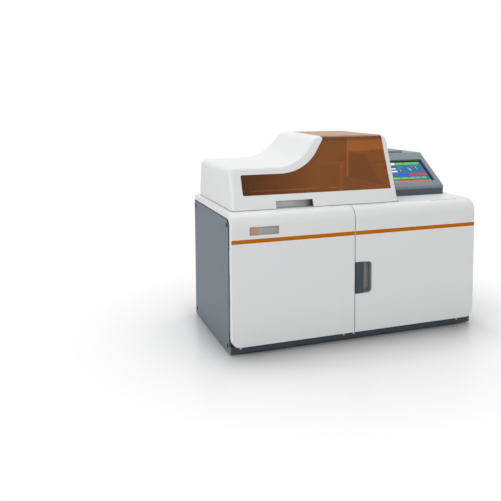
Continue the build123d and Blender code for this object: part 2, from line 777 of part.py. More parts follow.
# ---- Fixed leaves of the door hinges, on the posts ----
with BuildPart() as door_hinge_fixed_leaves:
    for low, high in hinge_spans:
        third = (high - low) / 3
        block(leaf_x, (post_front - hinge_leaf, post_front), (low, high))
        block((pin[0] - knuckle_clear, pin[0] + knuckle_clear), knuckle_y, (low + third, high - third),
              Mode.SUBTRACT)
        for z in ((low, low + third - knuckle_gap), (high - third + knuckle_gap, high)):
            rod_z(pin, knuckle_radius, z)
        rod_z(pin, hinge_pin_radius, (low, high), Mode.SUBTRACT)
    mirror(about=Plane.YZ)
pieces["door_hinge_fixed_leaves"] = door_hinge_fixed_leaves


# ---- Deck and work pan ----
pan_x = (left + pan_left, left + pan_left + pan_width)
pan_y = (front + pan_front, back - pan_rear_margin)
deck_y = (front + door_reach + deck_gap, back)
with BuildPart() as top_cover:
    block((left, right), deck_y, (deck_under, deck_height))
    fillet(top_cover.edges().filter_by(Axis.Z).group_by(Axis.Y)[-1], deck_corner)
    rim = top_cover.faces().sort_by(Axis.Z)[-1].edges().sort_by(Axis.Y)[1:]
    fillet(rim, deck_edge_radius)
    with BuildSketch(Plane.XY.offset(deck_under)) as hollow:
        with Locations((0, (deck_y[0] + deck_y[1]) / 2)):
            Rectangle(width - 2 * deck_wall, deck_y[1] - deck_y[0] - 2 * deck_wall)
        fillet(hollow.vertices().sort_by(Axis.Y)[-2:], deck_corner - deck_wall)
    extrude(amount=deck_skirt - deck_wall, mode=Mode.SUBTRACT)
    block(pan_x, pan_y, (deck_under, deck_height), Mode.SUBTRACT)
pieces["top_cover"] = top_cover

bearing_z = (pan_floor + 2 - bearing_height, pan_floor + 2)
pulley_z = (bearing_z[0] - 3 - pulley_height, bearing_z[0] - 3)
plate_z = (pulley_z[0] - 6, pulley_z[0] - 3)
leg_reach = motor_pulley_radius + belt_thickness + 12
spindles = [place(reaction_centre), place(sample_centre)]
columns = [place(probe_column), place(stirrer_column)]
with BuildPart() as work_pan:
    block((pan_x[0] - pan_lip, pan_x[1] + pan_lip), (pan_y[0] - pan_lip, pan_y[1] + pan_lip),
          (deck_height, deck_height + pan_lip_thickness))
    block(pan_x, pan_y, (pan_floor - pan_wall, deck_height))
    block((pan_x[0] + pan_wall, pan_x[1] - pan_wall), (pan_y[0] + pan_wall, pan_y[1] - pan_wall),
          (pan_floor, deck_height + pan_lip_thickness), Mode.SUBTRACT)
    for centre in spindles:
        rod_z(centre, bearing_radius, (pan_floor - pan_wall, pan_floor), Mode.SUBTRACT)
    for centre in columns:
        rod_z(centre, column_guide, (pan_floor - pan_wall, pan_floor), Mode.SUBTRACT)
    for centre in spindles:
        x, y = centre[0], centre[1] - motor_offset
        block((x - leg_reach - 3, x + leg_reach + 3), (y - motor_size / 2, y + motor_size / 2), plate_z)
        for side in (-1, 1):
            leg_x = sorted((x + side * leg_reach, x + side * (leg_reach + 3)))
            block(leg_x, (y - 8, y + 8), (plate_z[0], pan_floor - pan_wall))
        rod_z((x, y), motor_pulley_radius - 2, plate_z, Mode.SUBTRACT)
pieces["work_pan"] = work_pan

guide_z = (pan_floor - pan_wall - guide_length, pan_floor + 2)
with BuildPart() as pan_bearings:
    for centre in spindles:
        rod_z(centre, bearing_radius, bearing_z)
        rod_z(centre, bearing_radius + 4, (pan_floor, pan_floor + 2))
        rod_z(centre, spindle_shaft + running_gap, bearing_z, Mode.SUBTRACT)
    for centre in columns:
        rod_z(centre, column_guide, guide_z)
        rod_z(centre, column_guide + 4, (pan_floor, pan_floor + 2))
        rod_z(centre, column_radius + running_gap, guide_z, Mode.SUBTRACT)
pieces["pan_bearings"] = pan_bearings


# ---- Disks and what they hold ----
def on_ring(centre, radius, angle):
    """Point on a circle about a centre."""
    return (centre[0] + radius * cos(radians(angle)), centre[1] + radius * sin(radians(angle)))


def station(column, reach, centre, ring, side):
    """Bearing of an arm whose tip meets a ring, and the ring's own angle there."""
    gap = (centre[0] - column[0], centre[1] - column[1])
    apart = hypot(*gap)
    swing = degrees(acos((reach**2 + apart**2 - ring**2) / (2 * reach * apart)))
    bearing = degrees(atan2(gap[1], gap[0])) + side * swing
    tip = on_ring(column, reach, bearing)
    return bearing, degrees(atan2(tip[1] - centre[1], tip[0] - centre[0]))


reaction, sample = spindles
probe, stirrer = columns
probe_at_sample, tube_start = station(probe, probe_reach, sample, tube_ring, -1)
probe_at_reaction, cuvette_start = station(probe, probe_reach, reaction, cuvette_ring, -1)
cuvette_pitch = 360 / cuvette_count
stirrer_target = on_ring(reaction, cuvette_ring, cuvette_start - stirrer_pitches * cuvette_pitch)
stirrer_reach = hypot(stirrer_target[0] - stirrer[0], stirrer_target[1] - stirrer[1])
stirrer_at_reaction = degrees(atan2(stirrer_target[1] - stirrer[1], stirrer_target[0] - stirrer[0]))
print(f"probe swing {probe_at_sample - probe_bearing:.3f} to {probe_at_reaction - probe_bearing:.3f} deg")
print(f"stirrer swing 0 to {stirrer_at_reaction - stirrer_bearing:.3f} deg, reach {stirrer_reach:.2f}")

disk_z = (deck_height - disk_thickness, deck_height)
hub_z = (bearing_z[1] + touch, deck_height)


def disk(centre, start, holes):
    """Turning disk with its hub, rings of round or square holes, and the shaft and pulley below the pan."""
    with BuildPart() as plate:
        with BuildSketch(Plane.XY.offset(disk_z[0])):
            with Locations(centre):
                Circle(disk_radius)
                for ring, count, hole in holes:
                    with PolarLocations(ring, count, start_angle=start):
                        add(hole, mode=Mode.SUBTRACT)
        extrude(amount=disk_thickness)
        rod_z(centre, hub_radius, hub_z)
        rod_z(centre, spindle_shaft, (pulley_z[0] - 3, deck_height + 6))
        rod_z(centre, pulley_radius, pulley_z)
    return plate


def ring_of_cups(centre, ring, count, start, outer, inner, z):
    """Cups standing in a ring: outer and inner are their outlines."""
    with BuildPart() as cups:
        for outline, low in ((outer, z[0]), (inner, z[0] + cup_floor)):
            with BuildSketch(Plane.XY.offset(low)):
                with Locations(centre):
                    with PolarLocations(ring, count, start_angle=start):
                        add(outline)
            extrude(amount=z[1] - low, mode=Mode.ADD if outline is outer else Mode.SUBTRACT)
    return cups


cuvette_hole = Rectangle(cuvette_outer, cuvette_outer, mode=Mode.PRIVATE)
cuvette_hollow = Rectangle(cuvette_inner, cuvette_inner, mode=Mode.PRIVATE)
tube_hole = Circle(tube_radius, mode=Mode.PRIVATE)
tube_hollow = Circle(tube_bore, mode=Mode.PRIVATE)
bottle_hole = Circle(bottle_radius, mode=Mode.PRIVATE)
cuvette_z = (deck_height + 1 - cuvette_height, deck_height + 1)
tube_z = (deck_height + 3 - tube_height, deck_height + 3)
pieces["reaction_disk"] = disk(reaction, cuvette_start, [(cuvette_ring, cuvette_count, cuvette_hole)])
pieces["cuvettes"] = ring_of_cups(reaction, cuvette_ring, cuvette_count, cuvette_start,
                                  cuvette_hole, cuvette_hollow, cuvette_z)
pieces["sample_disk"] = disk(sample, tube_start, [(tube_ring, tube_count, tube_hole),
                                                  (bottle_ring, bottle_count, bottle_hole)])
with BuildPart() as sample_vessels:
    add(ring_of_cups(sample, tube_ring, tube_count, tube_start, tube_hole, tube_hollow, tube_z))
    for radius, z in ((bottle_radius, (deck_height + 2 - bottle_height, deck_height + 2)),
                      (bottle_cap_radius, (deck_height + 2, deck_height + 8))):
        with BuildSketch(Plane.XY.offset(z[0])):
            with Locations(sample):
                with PolarLocations(bottle_ring, bottle_count, start_angle=tube_start):
                    Circle(radius)
        extrude(amount=z[1] - z[0])
pieces["sample_vessels"] = sample_vessels

motors = [(centre[0], centre[1] - motor_offset) for centre in spindles]


def motor_pulley(centre):
    """Small pulley with the motor's shaft."""
    with BuildPart() as pulley:
        rod_z(centre, motor_pulley_radius, pulley_z)
        rod_z(centre, motor_shaft, (plate_z[0] - motor_size / 2, pulley_z[1]))
    return pulley


def loop_face(first, second, radius_first, radius_second):
    """Outline of a belt or arm around two circles."""
    with BuildSketch() as outline:
        with Locations(first):
            Circle(radius_first)
        with Locations(second):
            Circle(radius_second)
        make_hull()
    return outline.sketch


pieces["reaction_motor_pulley"] = motor_pulley(motors[0])
pieces["sample_motor_pulley"] = motor_pulley(motors[1])

with BuildPart() as drive_belts:
    for centre, motor in zip(spindles, motors):
        with BuildSketch(Plane.XY.offset(pulley_z[0] + 1)):
            add(loop_face(centre, motor, pulley_radius + touch + belt_thickness,
                          motor_pulley_radius + touch + belt_thickness))
            add(loop_face(centre, motor, pulley_radius + touch, motor_pulley_radius + touch),
                mode=Mode.SUBTRACT)
        extrude(amount=pulley_height - 2)
pieces["drive_belts"] = drive_belts

carriage_z = (guide_z[0] - 8 - carriage_height, guide_z[0] - 8)
rail_low = carriage_z[0] - probe_travel - 6 - collar_height
lift_motors = [(x, y + rail_offset) for x, y in columns]
with BuildPart() as stepper_motors:
    for places, top in ((motors, plate_z[0]), (lift_motors, rail_low)):
        for x, y in places:
            block((x - motor_size / 2, x + motor_size / 2), (y - motor_size / 2, y + motor_size / 2),
                  (top - motor_size, top))
    chamfer(stepper_motors.edges().filter_by(Axis.Z), 4)
    for centre in motors:
        rod_z(centre, motor_shaft + running_gap, (plate_z[0] - motor_size / 2 - 1, plate_z[0]), Mode.SUBTRACT)
pieces["stepper_motors"] = stepper_motors

# ---- Probe and stirrer: a carriage lifts each column, which also turns ----
post = place(wash_post)
head_z = (deck_height + wash_level, deck_height + wash_level + arm_height)
with BuildPart() as guide_rods:
    for x, y in columns:
        rod_z((x, y + rail_offset), rail_radius, (rail_low, pan_floor - pan_wall))
    rod_z(post, wash_post_radius, (pan_floor, head_z[1] + 12))
    rod_z(post, 2 * wash_post_radius, (pan_floor, pan_floor + 4))
pieces["guide_rods"] = guide_rods


def carriage(centre):
    """Slider on its rail; it grips the column between two collars and lets it turn."""
    rail = (centre[0], centre[1] + rail_offset)
    with BuildPart() as slider:
        with BuildSketch(Plane.XY.offset(carriage_z[0])):
            add(loop_face(centre, rail, column_radius + 6, rail_radius + 6))
        extrude(amount=carriage_height)
        rod_z(centre, column_radius + running_gap, carriage_z, Mode.SUBTRACT)
        rod_z(rail, rail_radius + running_gap, carriage_z, Mode.SUBTRACT)
    return slider


def arm(centre, reach, bearing, level):
    """Column, arm and what hangs at its tip."""
    tip = on_ring(centre, reach, bearing)
    arm_z = (deck_height + level, deck_height + level + arm_height)
    with BuildPart() as swing:
        with BuildSketch(Plane.XY.offset(arm_z[0])):
            add(loop_face(centre, tip, arm_width / 2 + 2, arm_width / 2 - 3))
        extrude(amount=arm_height)
        fillet(swing.faces().sort_by(Axis.Z)[-1].edges(), 3)
        rod_z(centre, column_radius, (carriage_z[0] - touch - collar_height, arm_z[0]))
        for z in (carriage_z[0] - touch - collar_height, carriage_z[1] + touch):
            rod_z(centre, column_radius + 3, (z, z + collar_height))
    return swing, tip


def wash_well(tip):
    """Cup in the pan where an arm's tip is rinsed."""
    with BuildPart() as well:
        rod_z(tip, well_radius, (pan_floor, deck_height + 2))
        rod_z(tip, well_bore, (pan_floor + 6, deck_height + 2), Mode.SUBTRACT)
    return well


probe_swing, probe_tip = arm(probe, probe_reach, probe_bearing, probe_arm_level)
stirrer_swing, stirrer_tip = arm(stirrer, stirrer_reach, stirrer_bearing, stirrer_arm_level)
pieces["probe_carriage"] = carriage(probe)
pieces["stirrer_carriage"] = carriage(stirrer)
with BuildPart() as probe_arm:
    add(probe_swing)
    rod_z(probe_tip, 3 * needle_radius, (deck_height + probe_arm_level - 10, deck_height + probe_arm_level))
    rod_z(probe_tip, needle_radius, (deck_height + needle_tip, deck_height + probe_arm_level))
pieces["probe_arm"] = probe_arm
with BuildPart() as stirrer_arm:
    add(stirrer_swing)
    rod_z(stirrer_tip, 3 * needle_radius,
          (deck_height + stirrer_arm_level - 8, deck_height + stirrer_arm_level))
    rod_z(stirrer_tip, needle_radius, (deck_height + needle_tip, deck_height + stirrer_arm_level))
    paddle_low = deck_height + needle_tip
    with Locations((*stirrer_tip, paddle_low + paddle_size[2] / 2)):
        Box(*paddle_size)
pieces["stirrer_arm"] = stirrer_arm

with BuildPart() as wash_wells:
    add(wash_well(probe_tip))
    add(wash_well(stirrer_tip))
pieces["wash_wells"] = wash_wells

wash_turns = [cuvette_start + (wash_first + i) * cuvette_pitch for i in range(wash_needles)]
with BuildPart() as wash_head:
    block((post[0] - 10, on_ring(reaction, cuvette_ring, 180)[0] + 12), (post[1] - 26, post[1] + 26), head_z)
    fillet(wash_head.edges().filter_by(Axis.Z), 6)
    rod_z(post, wash_post_radius + running_gap, head_z, Mode.SUBTRACT)
    for turn in wash_turns:
        rod_z(on_ring(reaction, cuvette_ring, turn), needle_radius, (deck_height + needle_tip, head_z[0]))
        rod_z(on_ring(reaction, cuvette_ring, turn), 2 * needle_radius, (head_z[1], head_z[1] + 6))
pieces["wash_head"] = wash_head


# ---- Hood ----
def hood_block(inset):
    """Hood-shaped solid: low roof, S-curved rise to a high roof, and a front that leans back."""
    base = deck_height + hood_gap - (1 if inset else 0)
    low_z = deck_height + hood_low
    high_z = deck_height + hood_high
    right_x = left + hood_right - inset
    sine, cosine = sin(radians(rise_angle)), cos(radians(rise_angle))
    rise_centre = (left + rise_start, low_z + rise_radius)
    slope = (high_z - low_z - (rise_radius + crown_radius) * (1 - cosine)) / sine
    crown = (rise_centre[0] + (rise_radius + crown_radius) * sine + slope * cosine, high_z - crown_radius)
    low_arc = (left + hood_left + hood_side_lean + low_corner, low_z - low_corner)
    side_angle = degrees(atan2(hood_side_lean, low_arc[1] - deck_height))
    with BuildPart() as solid:
        with BuildSketch(Plane.XZ.offset(-(front + hood_back - inset))):
            with BuildLine():
                rise = CenterArc(rise_centre, rise_radius + inset, -90, rise_angle)
                top = CenterArc(crown, crown_radius - inset, 90, rise_angle)
                shoulder = CenterArc(low_arc, low_corner - inset, 90, 90 - side_angle)
                corner_centre = (left + hood_right - high_corner, high_z - high_corner)
                corner = CenterArc(corner_centre, high_corner - inset, 0, 90)
                Line(rise @ 1, top @ 1)
                Line(top @ 0, corner @ 1)
                Line(rise @ 0, shoulder @ 0)
                drop = (shoulder @ 1).Y - base
                foot_x = (shoulder @ 1).X - drop * sin(radians(side_angle)) / cos(radians(side_angle))
                Polyline(shoulder @ 1, (foot_x, base), (right_x, base), corner @ 0)
            make_face()
        extrude(amount=hood_back - hood_front - inset)
        lean = Plane(origin=(0, front + hood_front + inset * hypot(1, hood_lean), deck_height),
                     z_dir=(0, 1, -hood_lean))
        split(bisect_by=lean, keep=Keep.TOP)
        fillet(solid.faces().sort_by(Axis.Y)[0].edges().sort_by(Axis.Z)[1:], hood_edge_radius - inset)
        rear_face = solid.faces().filter_by(Axis.Y).sort_by(Axis.Y)[-1]
        fillet(rear_face.edges().sort_by(Axis.Z)[1:], hood_rear_radius - inset)
    return solid


def front_at(height):
    """Where the leaning front stands at a height above the deck."""
    return front + hood_front + hood_lean * height


window_top = deck_height + hood_high + 8
roof_y = (front_at(hood_high) - 6, front + hood_back - hood_rear_frame)
with BuildPart() as window_cutter:
    with BuildSketch(Plane.XZ.offset(-(front + hood_front - 1))) as opening:
        with BuildLine():
            rise = CenterArc((left + window_rise_start, deck_height + window_low_top + window_rise_radius),
                             window_rise_radius, -90, window_rise_angle)
            curl = TangentArc(rise @ 1, (left + window_tip[0], deck_height + window_tip[1]), tangent=rise % 1)
            tip = TangentArc(curl @ 1, (left + roof_window_left, deck_height + hood_high), tangent=curl % 1)
            Polyline(tip @ 1, (left + roof_window_left, window_top), (left + window_right, window_top),
                     (left + window_right, deck_height + window_bottom),
                     (left + window_left, deck_height + window_bottom),
                     (left + window_left, deck_height + window_low_top), rise @ 0)
        make_face()
        fillet(opening.vertices().sort_by(Axis.X)[:2], window_corner)
    extrude(amount=-(roof_y[0] + 8 - front - hood_front))
    with BuildSketch(Plane.XY.offset(deck_height + window_roof_low)):
        with BuildLine():
            Polyline((left + roof_window_left, roof_y[0] + 7), (left + window_right, roof_y[0] + 7),
                     (left + window_right, roof_y[0] + frame_strip),
                     (left + hood_right + 9, roof_y[0] + frame_strip), (left + hood_right + 9, roof_y[1]),
                     (left + roof_window_left + roof_window_skew, roof_y[1]), close=True)
        make_face()
    extrude(amount=hood_high - window_roof_low + 9)
    with BuildSketch(Plane.YZ.offset(left + window_right - touch)):
        with BuildLine():
            Polyline((front_at(window_bottom) + frame_strip + hood_wall, deck_height + window_bottom),
                     (front_at(hood_high) + frame_strip - 6, deck_height + hood_high),
                     (roof_y[1], deck_height + hood_high), (roof_y[1], deck_height + window_bottom),
                     close=True)
        make_face()
    extrude(amount=hood_right - window_right + 9)

with BuildPart() as hood_walls:
    add(hood_block(0))
    add(hood_block(hood_wall), mode=Mode.SUBTRACT)

notch_x = (left + notch_left, left + notch_left + notch_width)
notch_z = (deck_height + hood_gap, deck_height + notch_height)
with BuildPart() as hood_shell:
    add(hood_walls)
    add(window_cutter, mode=Mode.SUBTRACT)
    block(notch_x, (front + hood_front - 1, front_at(notch_height) + 2 * hood_wall), notch_z, Mode.SUBTRACT)
pieces["hood_shell"] = hood_shell

with BuildPart() as hood_window:
    add(hood_walls)
    add(window_cutter, mode=Mode.INTERSECT)
pieces["hood_window"] = hood_window

pocket_back = front_at(notch_height) + pocket_depth
with BuildPart() as hood_grip_pocket:
    block((notch_x[0] - pocket_wall, notch_x[1] + pocket_wall), (front + hood_front, pocket_back),
          (notch_z[0], notch_z[1] + pocket_wall))
    add(hood_block(hood_wall), mode=Mode.INTERSECT)
    block(notch_x, (front + hood_front, pocket_back - pocket_wall), notch_z, Mode.SUBTRACT)
pieces["hood_grip_pocket"] = hood_grip_pocket

# ---- Hood hinges ----
hood_axis = (front + hood_back + hood_pin_setback, deck_height + hood_pin_height)
hood_hinge_x = [(left + x, left + x + hood_hinge_width) for x in hood_hinge_places]
wall_y = front + hood_back
leaf_gap = hood_knuckle_radius + 1
with BuildPart() as hood_hinge_bases:
    for low, high in hood_hinge_x:
        third = (high - low) / 3
        block((low, high), (hood_axis[0] - 3, back - deck_edge_radius), (deck_height, deck_height + 2.5))
        for x in ((low, low + third - knuckle_gap), (high - third + knuckle_gap, high)):
            block(x, (hood_axis[0] - 3, hood_axis[0] + 3), (deck_height, hood_axis[1]))
            rod_x(x, hood_axis, hood_knuckle_radius)
        rod_x((low, high), hood_axis, hood_pin_radius, Mode.SUBTRACT)
pieces["hood_hinge_bases"] = hood_hinge_bases

with BuildPart() as hood_hinge_leaves:
    for low, high in hood_hinge_x:
        third = (high - low) / 3
        block((low, high), (wall_y, wall_y + 3), (hood_axis[1] + leaf_gap, hood_axis[1] + 32))
        block((low + third, high - third), (wall_y, wall_y + 3), (hood_axis[1], hood_axis[1] + leaf_gap))
        rod_x((low + third, high - third), hood_axis, hood_knuckle_radius)
        rod_x((low, high), hood_axis, hood_pin_radius + running_gap, Mode.SUBTRACT)
pieces["hood_hinge_leaves"] = hood_hinge_leaves

with BuildPart() as hinge_pins:
    for low, high in hinge_spans:
        rod_z(pin, hinge_pin_radius, (low - 1, high + 1))
    mirror(about=Plane.YZ)
    for low, high in hood_hinge_x:
        rod_x((low - 1, high + 1), hood_axis, hood_pin_radius)
pieces["hinge_pins"] = hinge_pins

# ---- Console ----
console_x = (left + console_left, left + console_right)
console_y = (back - console_rear_margin - console_length, back - console_rear_margin)
base_top = deck_height + base_height
console_top = deck_height + console_height
face_low = (console_y[0] + face_foot[0], deck_height + face_foot[1])
face_high = (console_y[0] + face_head, console_top)
rise_over = (face_high[0] - face_low[0], face_high[1] - face_low[1])
face_length = hypot(*rise_over)
along = (rise_over[0] / face_length, rise_over[1] / face_length)
screen_middle = screen_start + screen_size[1] / 2
screen_plane = Plane(origin=(left + screen_centre, face_low[0] + along[0] * screen_middle,
                             face_low[1] + along[1] * screen_middle),
                     x_dir=(1, 0, 0), z_dir=(0, -along[1], along[0]))
with BuildPart() as console_base:
    block(console_x, console_y, (deck_height, base_top))
    fillet(console_base.edges().filter_by(Axis.Z), console_corner)
    block((console_x[0] + console_wall, console_x[1] - console_wall),
          (console_y[0] + console_wall, console_y[1] - console_wall), (deck_height, base_top - console_wall),
          Mode.SUBTRACT)
pieces["console_base"] = console_base


def console_section():
    """Side outline of the console: short upright lip, sloped face, flat top."""
    with BuildSketch() as section:
        with BuildLine():
            Polyline((console_y[0], base_top), (console_y[0], base_top + lip_height), face_low, face_high,
                     (console_y[1], console_top), (console_y[1], base_top), close=True)
        make_face()
    return section.sketch


bay_x = (left + bay_left, left + bay_left + bay_size[0])
bay_y_span = (console_y[0] + bay_front, console_y[0] + bay_front + bay_size[1])
paper_axis = (bay_y_span[1] - bay_wall - paper_radius - 2, console_top - paper_radius - 4)
platen_axis = (bay_y_span[0] + bay_wall + platen_radius + 3, console_top - platen_radius - 2)
bay_mid = (bay_x[0] + bay_x[1]) / 2
roll_x = (bay_mid - paper_width / 2, bay_mid + paper_width / 2)
cover_x = (bay_x[0] - cover_lap, bay_x[1] + cover_lap)
cover_y = (bay_y_span[0] - 1, bay_y_span[1] + cover_lap)
cover_z = (console_top + touch, console_top + cover_height)
cover_axis = (cover_y[1] + cover_pin_setback, console_top + cover_pin_height)
tongue = bay_size[0] * cover_tongue
with BuildPart() as console_housing:
    with BuildSketch(Plane.YZ.offset(console_x[0])):
        add(console_section())
    extrude(amount=console_x[1] - console_x[0])
    soft = console_housing.edges().filter_by(Axis.X).filter_by(lambda e: e.center().Z > base_top + 1)
    fillet(soft, console_edge)
    ends = console_housing.faces().filter_by(Axis.X)
    fillet(ends.sort_by(Axis.X)[0].edges().filter_by(lambda e: e.center().Z > base_top + 1), console_edge)
    ends = console_housing.faces().filter_by(Axis.X)
    fillet(ends.sort_by(Axis.X)[-1].edges().filter_by(lambda e: e.center().Z > base_top + 1), console_edge)
    with BuildSketch(Plane.YZ.offset(console_x[0] + console_wall)):
        add(offset(console_section(), amount=-console_wall, kind=Kind.INTERSECTION, mode=Mode.PRIVATE))
    extrude(amount=console_x[1] - console_x[0] - 2 * console_wall, mode=Mode.SUBTRACT)
    block((console_x[0] + console_wall, console_x[1] - console_wall),
          (console_y[0] + console_wall, console_y[1] - console_wall), (base_top, base_top + console_wall + 1),
          Mode.SUBTRACT)
    with BuildSketch(screen_plane):
        RectangleRounded(*screen_size, 3)
    extrude(amount=-2 * console_wall, mode=Mode.SUBTRACT)
    with BuildSketch(screen_plane.offset(-console_wall)):
        Rectangle(screen_size[0] + 2 * screen_border, screen_size[1] + 2 * screen_border)
        RectangleRounded(*screen_size, 3, mode=Mode.SUBTRACT)
    extrude(amount=-(screen_recess - console_wall))
    block(bay_x, bay_y_span, (console_top - 2 * console_wall, console_top), Mode.SUBTRACT)
    for side in (-1, 1):
        x = sorted((bay_mid + side * (tongue + touch), bay_mid + side * (tongue + 8)))
        block(x, (cover_axis[0] - 3, cover_axis[0] + 3), (console_top - 1, cover_axis[1]))
        rod_x(x, cover_axis, cover_knuckle)
        rod_x(x, cover_axis, cover_pin_radius + running_gap, Mode.SUBTRACT)
pieces["console_housing"] = console_housing

with BuildPart() as touch_screen:
    with BuildSketch(screen_plane.offset(-screen_recess)):
        Rectangle(screen_size[0] + 2 * screen_border, screen_size[1] + 2 * screen_border)
    extrude(amount=-screen_glass)
pieces["touch_screen"] = touch_screen

with BuildPart() as printer_bay:
    block(bay_x, bay_y_span, (console_top - bay_depth, console_top))
    block((bay_x[0] + bay_wall, bay_x[1] - bay_wall), (bay_y_span[0] + bay_wall, bay_y_span[1] - bay_wall),
          (console_top - bay_depth + bay_wall, console_top), Mode.SUBTRACT)
    rod_x(bay_x, paper_axis, journal_radius + running_gap, Mode.SUBTRACT)
    rod_x(bay_x, platen_axis, journal_radius + running_gap, Mode.SUBTRACT)
pieces["printer_bay"] = printer_bay

spindle_x = (bay_x[0] + bay_wall + 1, bay_x[1] - bay_wall - 1)
with BuildPart() as paper_roll:
    rod_x(roll_x, paper_axis, paper_radius)
    rod_x(spindle_x, paper_axis, core_radius)
    rod_x(bay_x, paper_axis, journal_radius)
pieces["paper_roll"] = paper_roll
with BuildPart() as platen_roller:
    rod_x(spindle_x, platen_axis, platen_radius)
    rod_x(bay_x, platen_axis, journal_radius)
pieces["platen_roller"] = platen_roller

with BuildPart() as printer_cover:
    block(cover_x, cover_y, cover_z)
    fillet(printer_cover.edges().filter_by(Axis.Z), cover_corner)
    fillet(printer_cover.faces().sort_by(Axis.Z)[-1].edges(), cover_crown)
    block((cover_x[0] + cover_wall, cover_x[1] - cover_wall),
          (cover_y[0] + cover_wall, cover_y[1] - cover_wall), (cover_z[0], cover_z[1] - cover_wall),
          Mode.SUBTRACT)
    block((bay_mid - tongue, bay_mid + tongue), (cover_y[1] - cover_wall, cover_axis[0]),
          (cover_axis[1] - 2, cover_axis[1] + 2))
    rod_x((bay_mid - tongue, bay_mid + tongue), cover_axis, cover_knuckle)
    rod_x((bay_mid - tongue - 8, bay_mid + tongue + 8), cover_axis, cover_pin_radius)
pieces["printer_cover"] = printer_cover

# ---- Write one file per piece ----
os.makedirs("parts", exist_ok=True)
for name, piece in pieces.items():
    piece.part.label = name
    export_step(piece.part, f"parts/{name}.step")
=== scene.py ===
import json
import math
import bmesh
import bpy
from mathutils import Matrix, Vector


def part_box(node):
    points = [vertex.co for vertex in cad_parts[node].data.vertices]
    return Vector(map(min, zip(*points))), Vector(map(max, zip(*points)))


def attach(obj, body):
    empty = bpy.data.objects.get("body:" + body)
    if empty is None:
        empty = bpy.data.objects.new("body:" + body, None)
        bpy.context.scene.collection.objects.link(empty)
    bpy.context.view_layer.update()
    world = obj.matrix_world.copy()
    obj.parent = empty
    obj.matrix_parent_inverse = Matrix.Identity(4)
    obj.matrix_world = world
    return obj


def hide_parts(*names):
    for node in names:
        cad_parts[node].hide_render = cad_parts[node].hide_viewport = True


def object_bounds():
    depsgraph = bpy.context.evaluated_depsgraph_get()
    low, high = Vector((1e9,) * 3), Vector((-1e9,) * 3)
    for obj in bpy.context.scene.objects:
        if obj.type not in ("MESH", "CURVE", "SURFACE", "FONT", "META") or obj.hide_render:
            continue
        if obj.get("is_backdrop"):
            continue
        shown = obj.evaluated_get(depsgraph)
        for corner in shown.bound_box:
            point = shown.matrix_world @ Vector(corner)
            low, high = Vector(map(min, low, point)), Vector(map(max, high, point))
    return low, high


# Benchtop chemistry analyzer, dressed for a studio picture. Metres, +Z up, the doors face -Y.

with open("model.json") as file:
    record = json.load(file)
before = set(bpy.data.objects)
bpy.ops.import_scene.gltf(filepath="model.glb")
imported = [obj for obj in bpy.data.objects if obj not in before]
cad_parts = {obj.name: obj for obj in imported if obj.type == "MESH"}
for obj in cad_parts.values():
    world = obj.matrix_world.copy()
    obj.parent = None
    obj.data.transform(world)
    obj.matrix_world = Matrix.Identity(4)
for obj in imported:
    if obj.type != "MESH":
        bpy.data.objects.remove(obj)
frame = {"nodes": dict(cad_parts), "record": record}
cadNodes = frame["nodes"]
slotOf = {part["node"]: part["material_slot"] for part in frame["record"]["subparts"]}
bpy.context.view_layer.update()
print("frame loaded:", len(cadNodes), "nodes")


class Wire:
    # one socket that can be used in sums: every operator adds a Math node
    def __init__(self, tree, socket):
        self.tree, self.socket = tree, socket

    def maths(self, operation, *values):
        node = self.tree.nodes.new(self.tree.mathKind)
        node.operation = operation
        for inlet, value in zip(node.inputs, values):
            self.tree.feed(inlet, value)
        return Wire(self.tree, node.outputs[0])

    def __add__(self, other):
        return self.maths("ADD", self, other)

    def __sub__(self, other):
        return self.maths("SUBTRACT", self, other)

    def __rsub__(self, other):
        return self.maths("SUBTRACT", other, self)

    def __mul__(self, other):
        return self.maths("MULTIPLY", self, other)

    def __truediv__(self, other):
        return self.maths("DIVIDE", self, other)

    def __pow__(self, other):
        return self.maths("POWER", self, other)

    def __mod__(self, other):
        return self.maths("FLOORED_MODULO", self, other)

    def __gt__(self, other):
        return self.maths("GREATER_THAN", self, other)

    def __lt__(self, other):
        return self.maths("LESS_THAN", self, other)

    def clamp(self):
        # no lower than 0 and no higher than 1
        return self.maths("MINIMUM", self.maths("MAXIMUM", self, 0.0), 1.0)

    __radd__ = __add__
    __rmul__ = __mul__


class Tree:
    # a node tree with one way in for every kind of node
    mathKind = "ShaderNodeMath"
    prefix = "ShaderNode"

    def __init__(self, tree):
        self.nodes, self.links = tree.nodes, tree.links

    def feed(self, socket, value):
        if isinstance(value, Wire):
            self.links.new(value.socket, socket)
        elif isinstance(value, (tuple, list)) and socket.type == "RGBA" and len(value) == 3:
            socket.default_value = (*value, 1.0)
        else:
            socket.default_value = value

    def put(self, kind, settings=None, values=None, outlet=0):
        node = self.nodes.new(kind if "Node" in kind else self.prefix + kind)
        for key, value in (settings or {}).items():
            if key == "stops":
                ramp = node.color_ramp
                while len(ramp.elements) < len(value):
                    ramp.elements.new(0.5)
                for element, (place, colour) in zip(ramp.elements, value):
                    element.position, element.color = place, (*colour, 1.0)
            else:
                setattr(node, key, value)
        for key, value in (values or {}).items():
            for one in value if isinstance(value, list) else [value]:
                self.feed(node.inputs[key], one)
        return Wire(self, node.outputs[outlet])


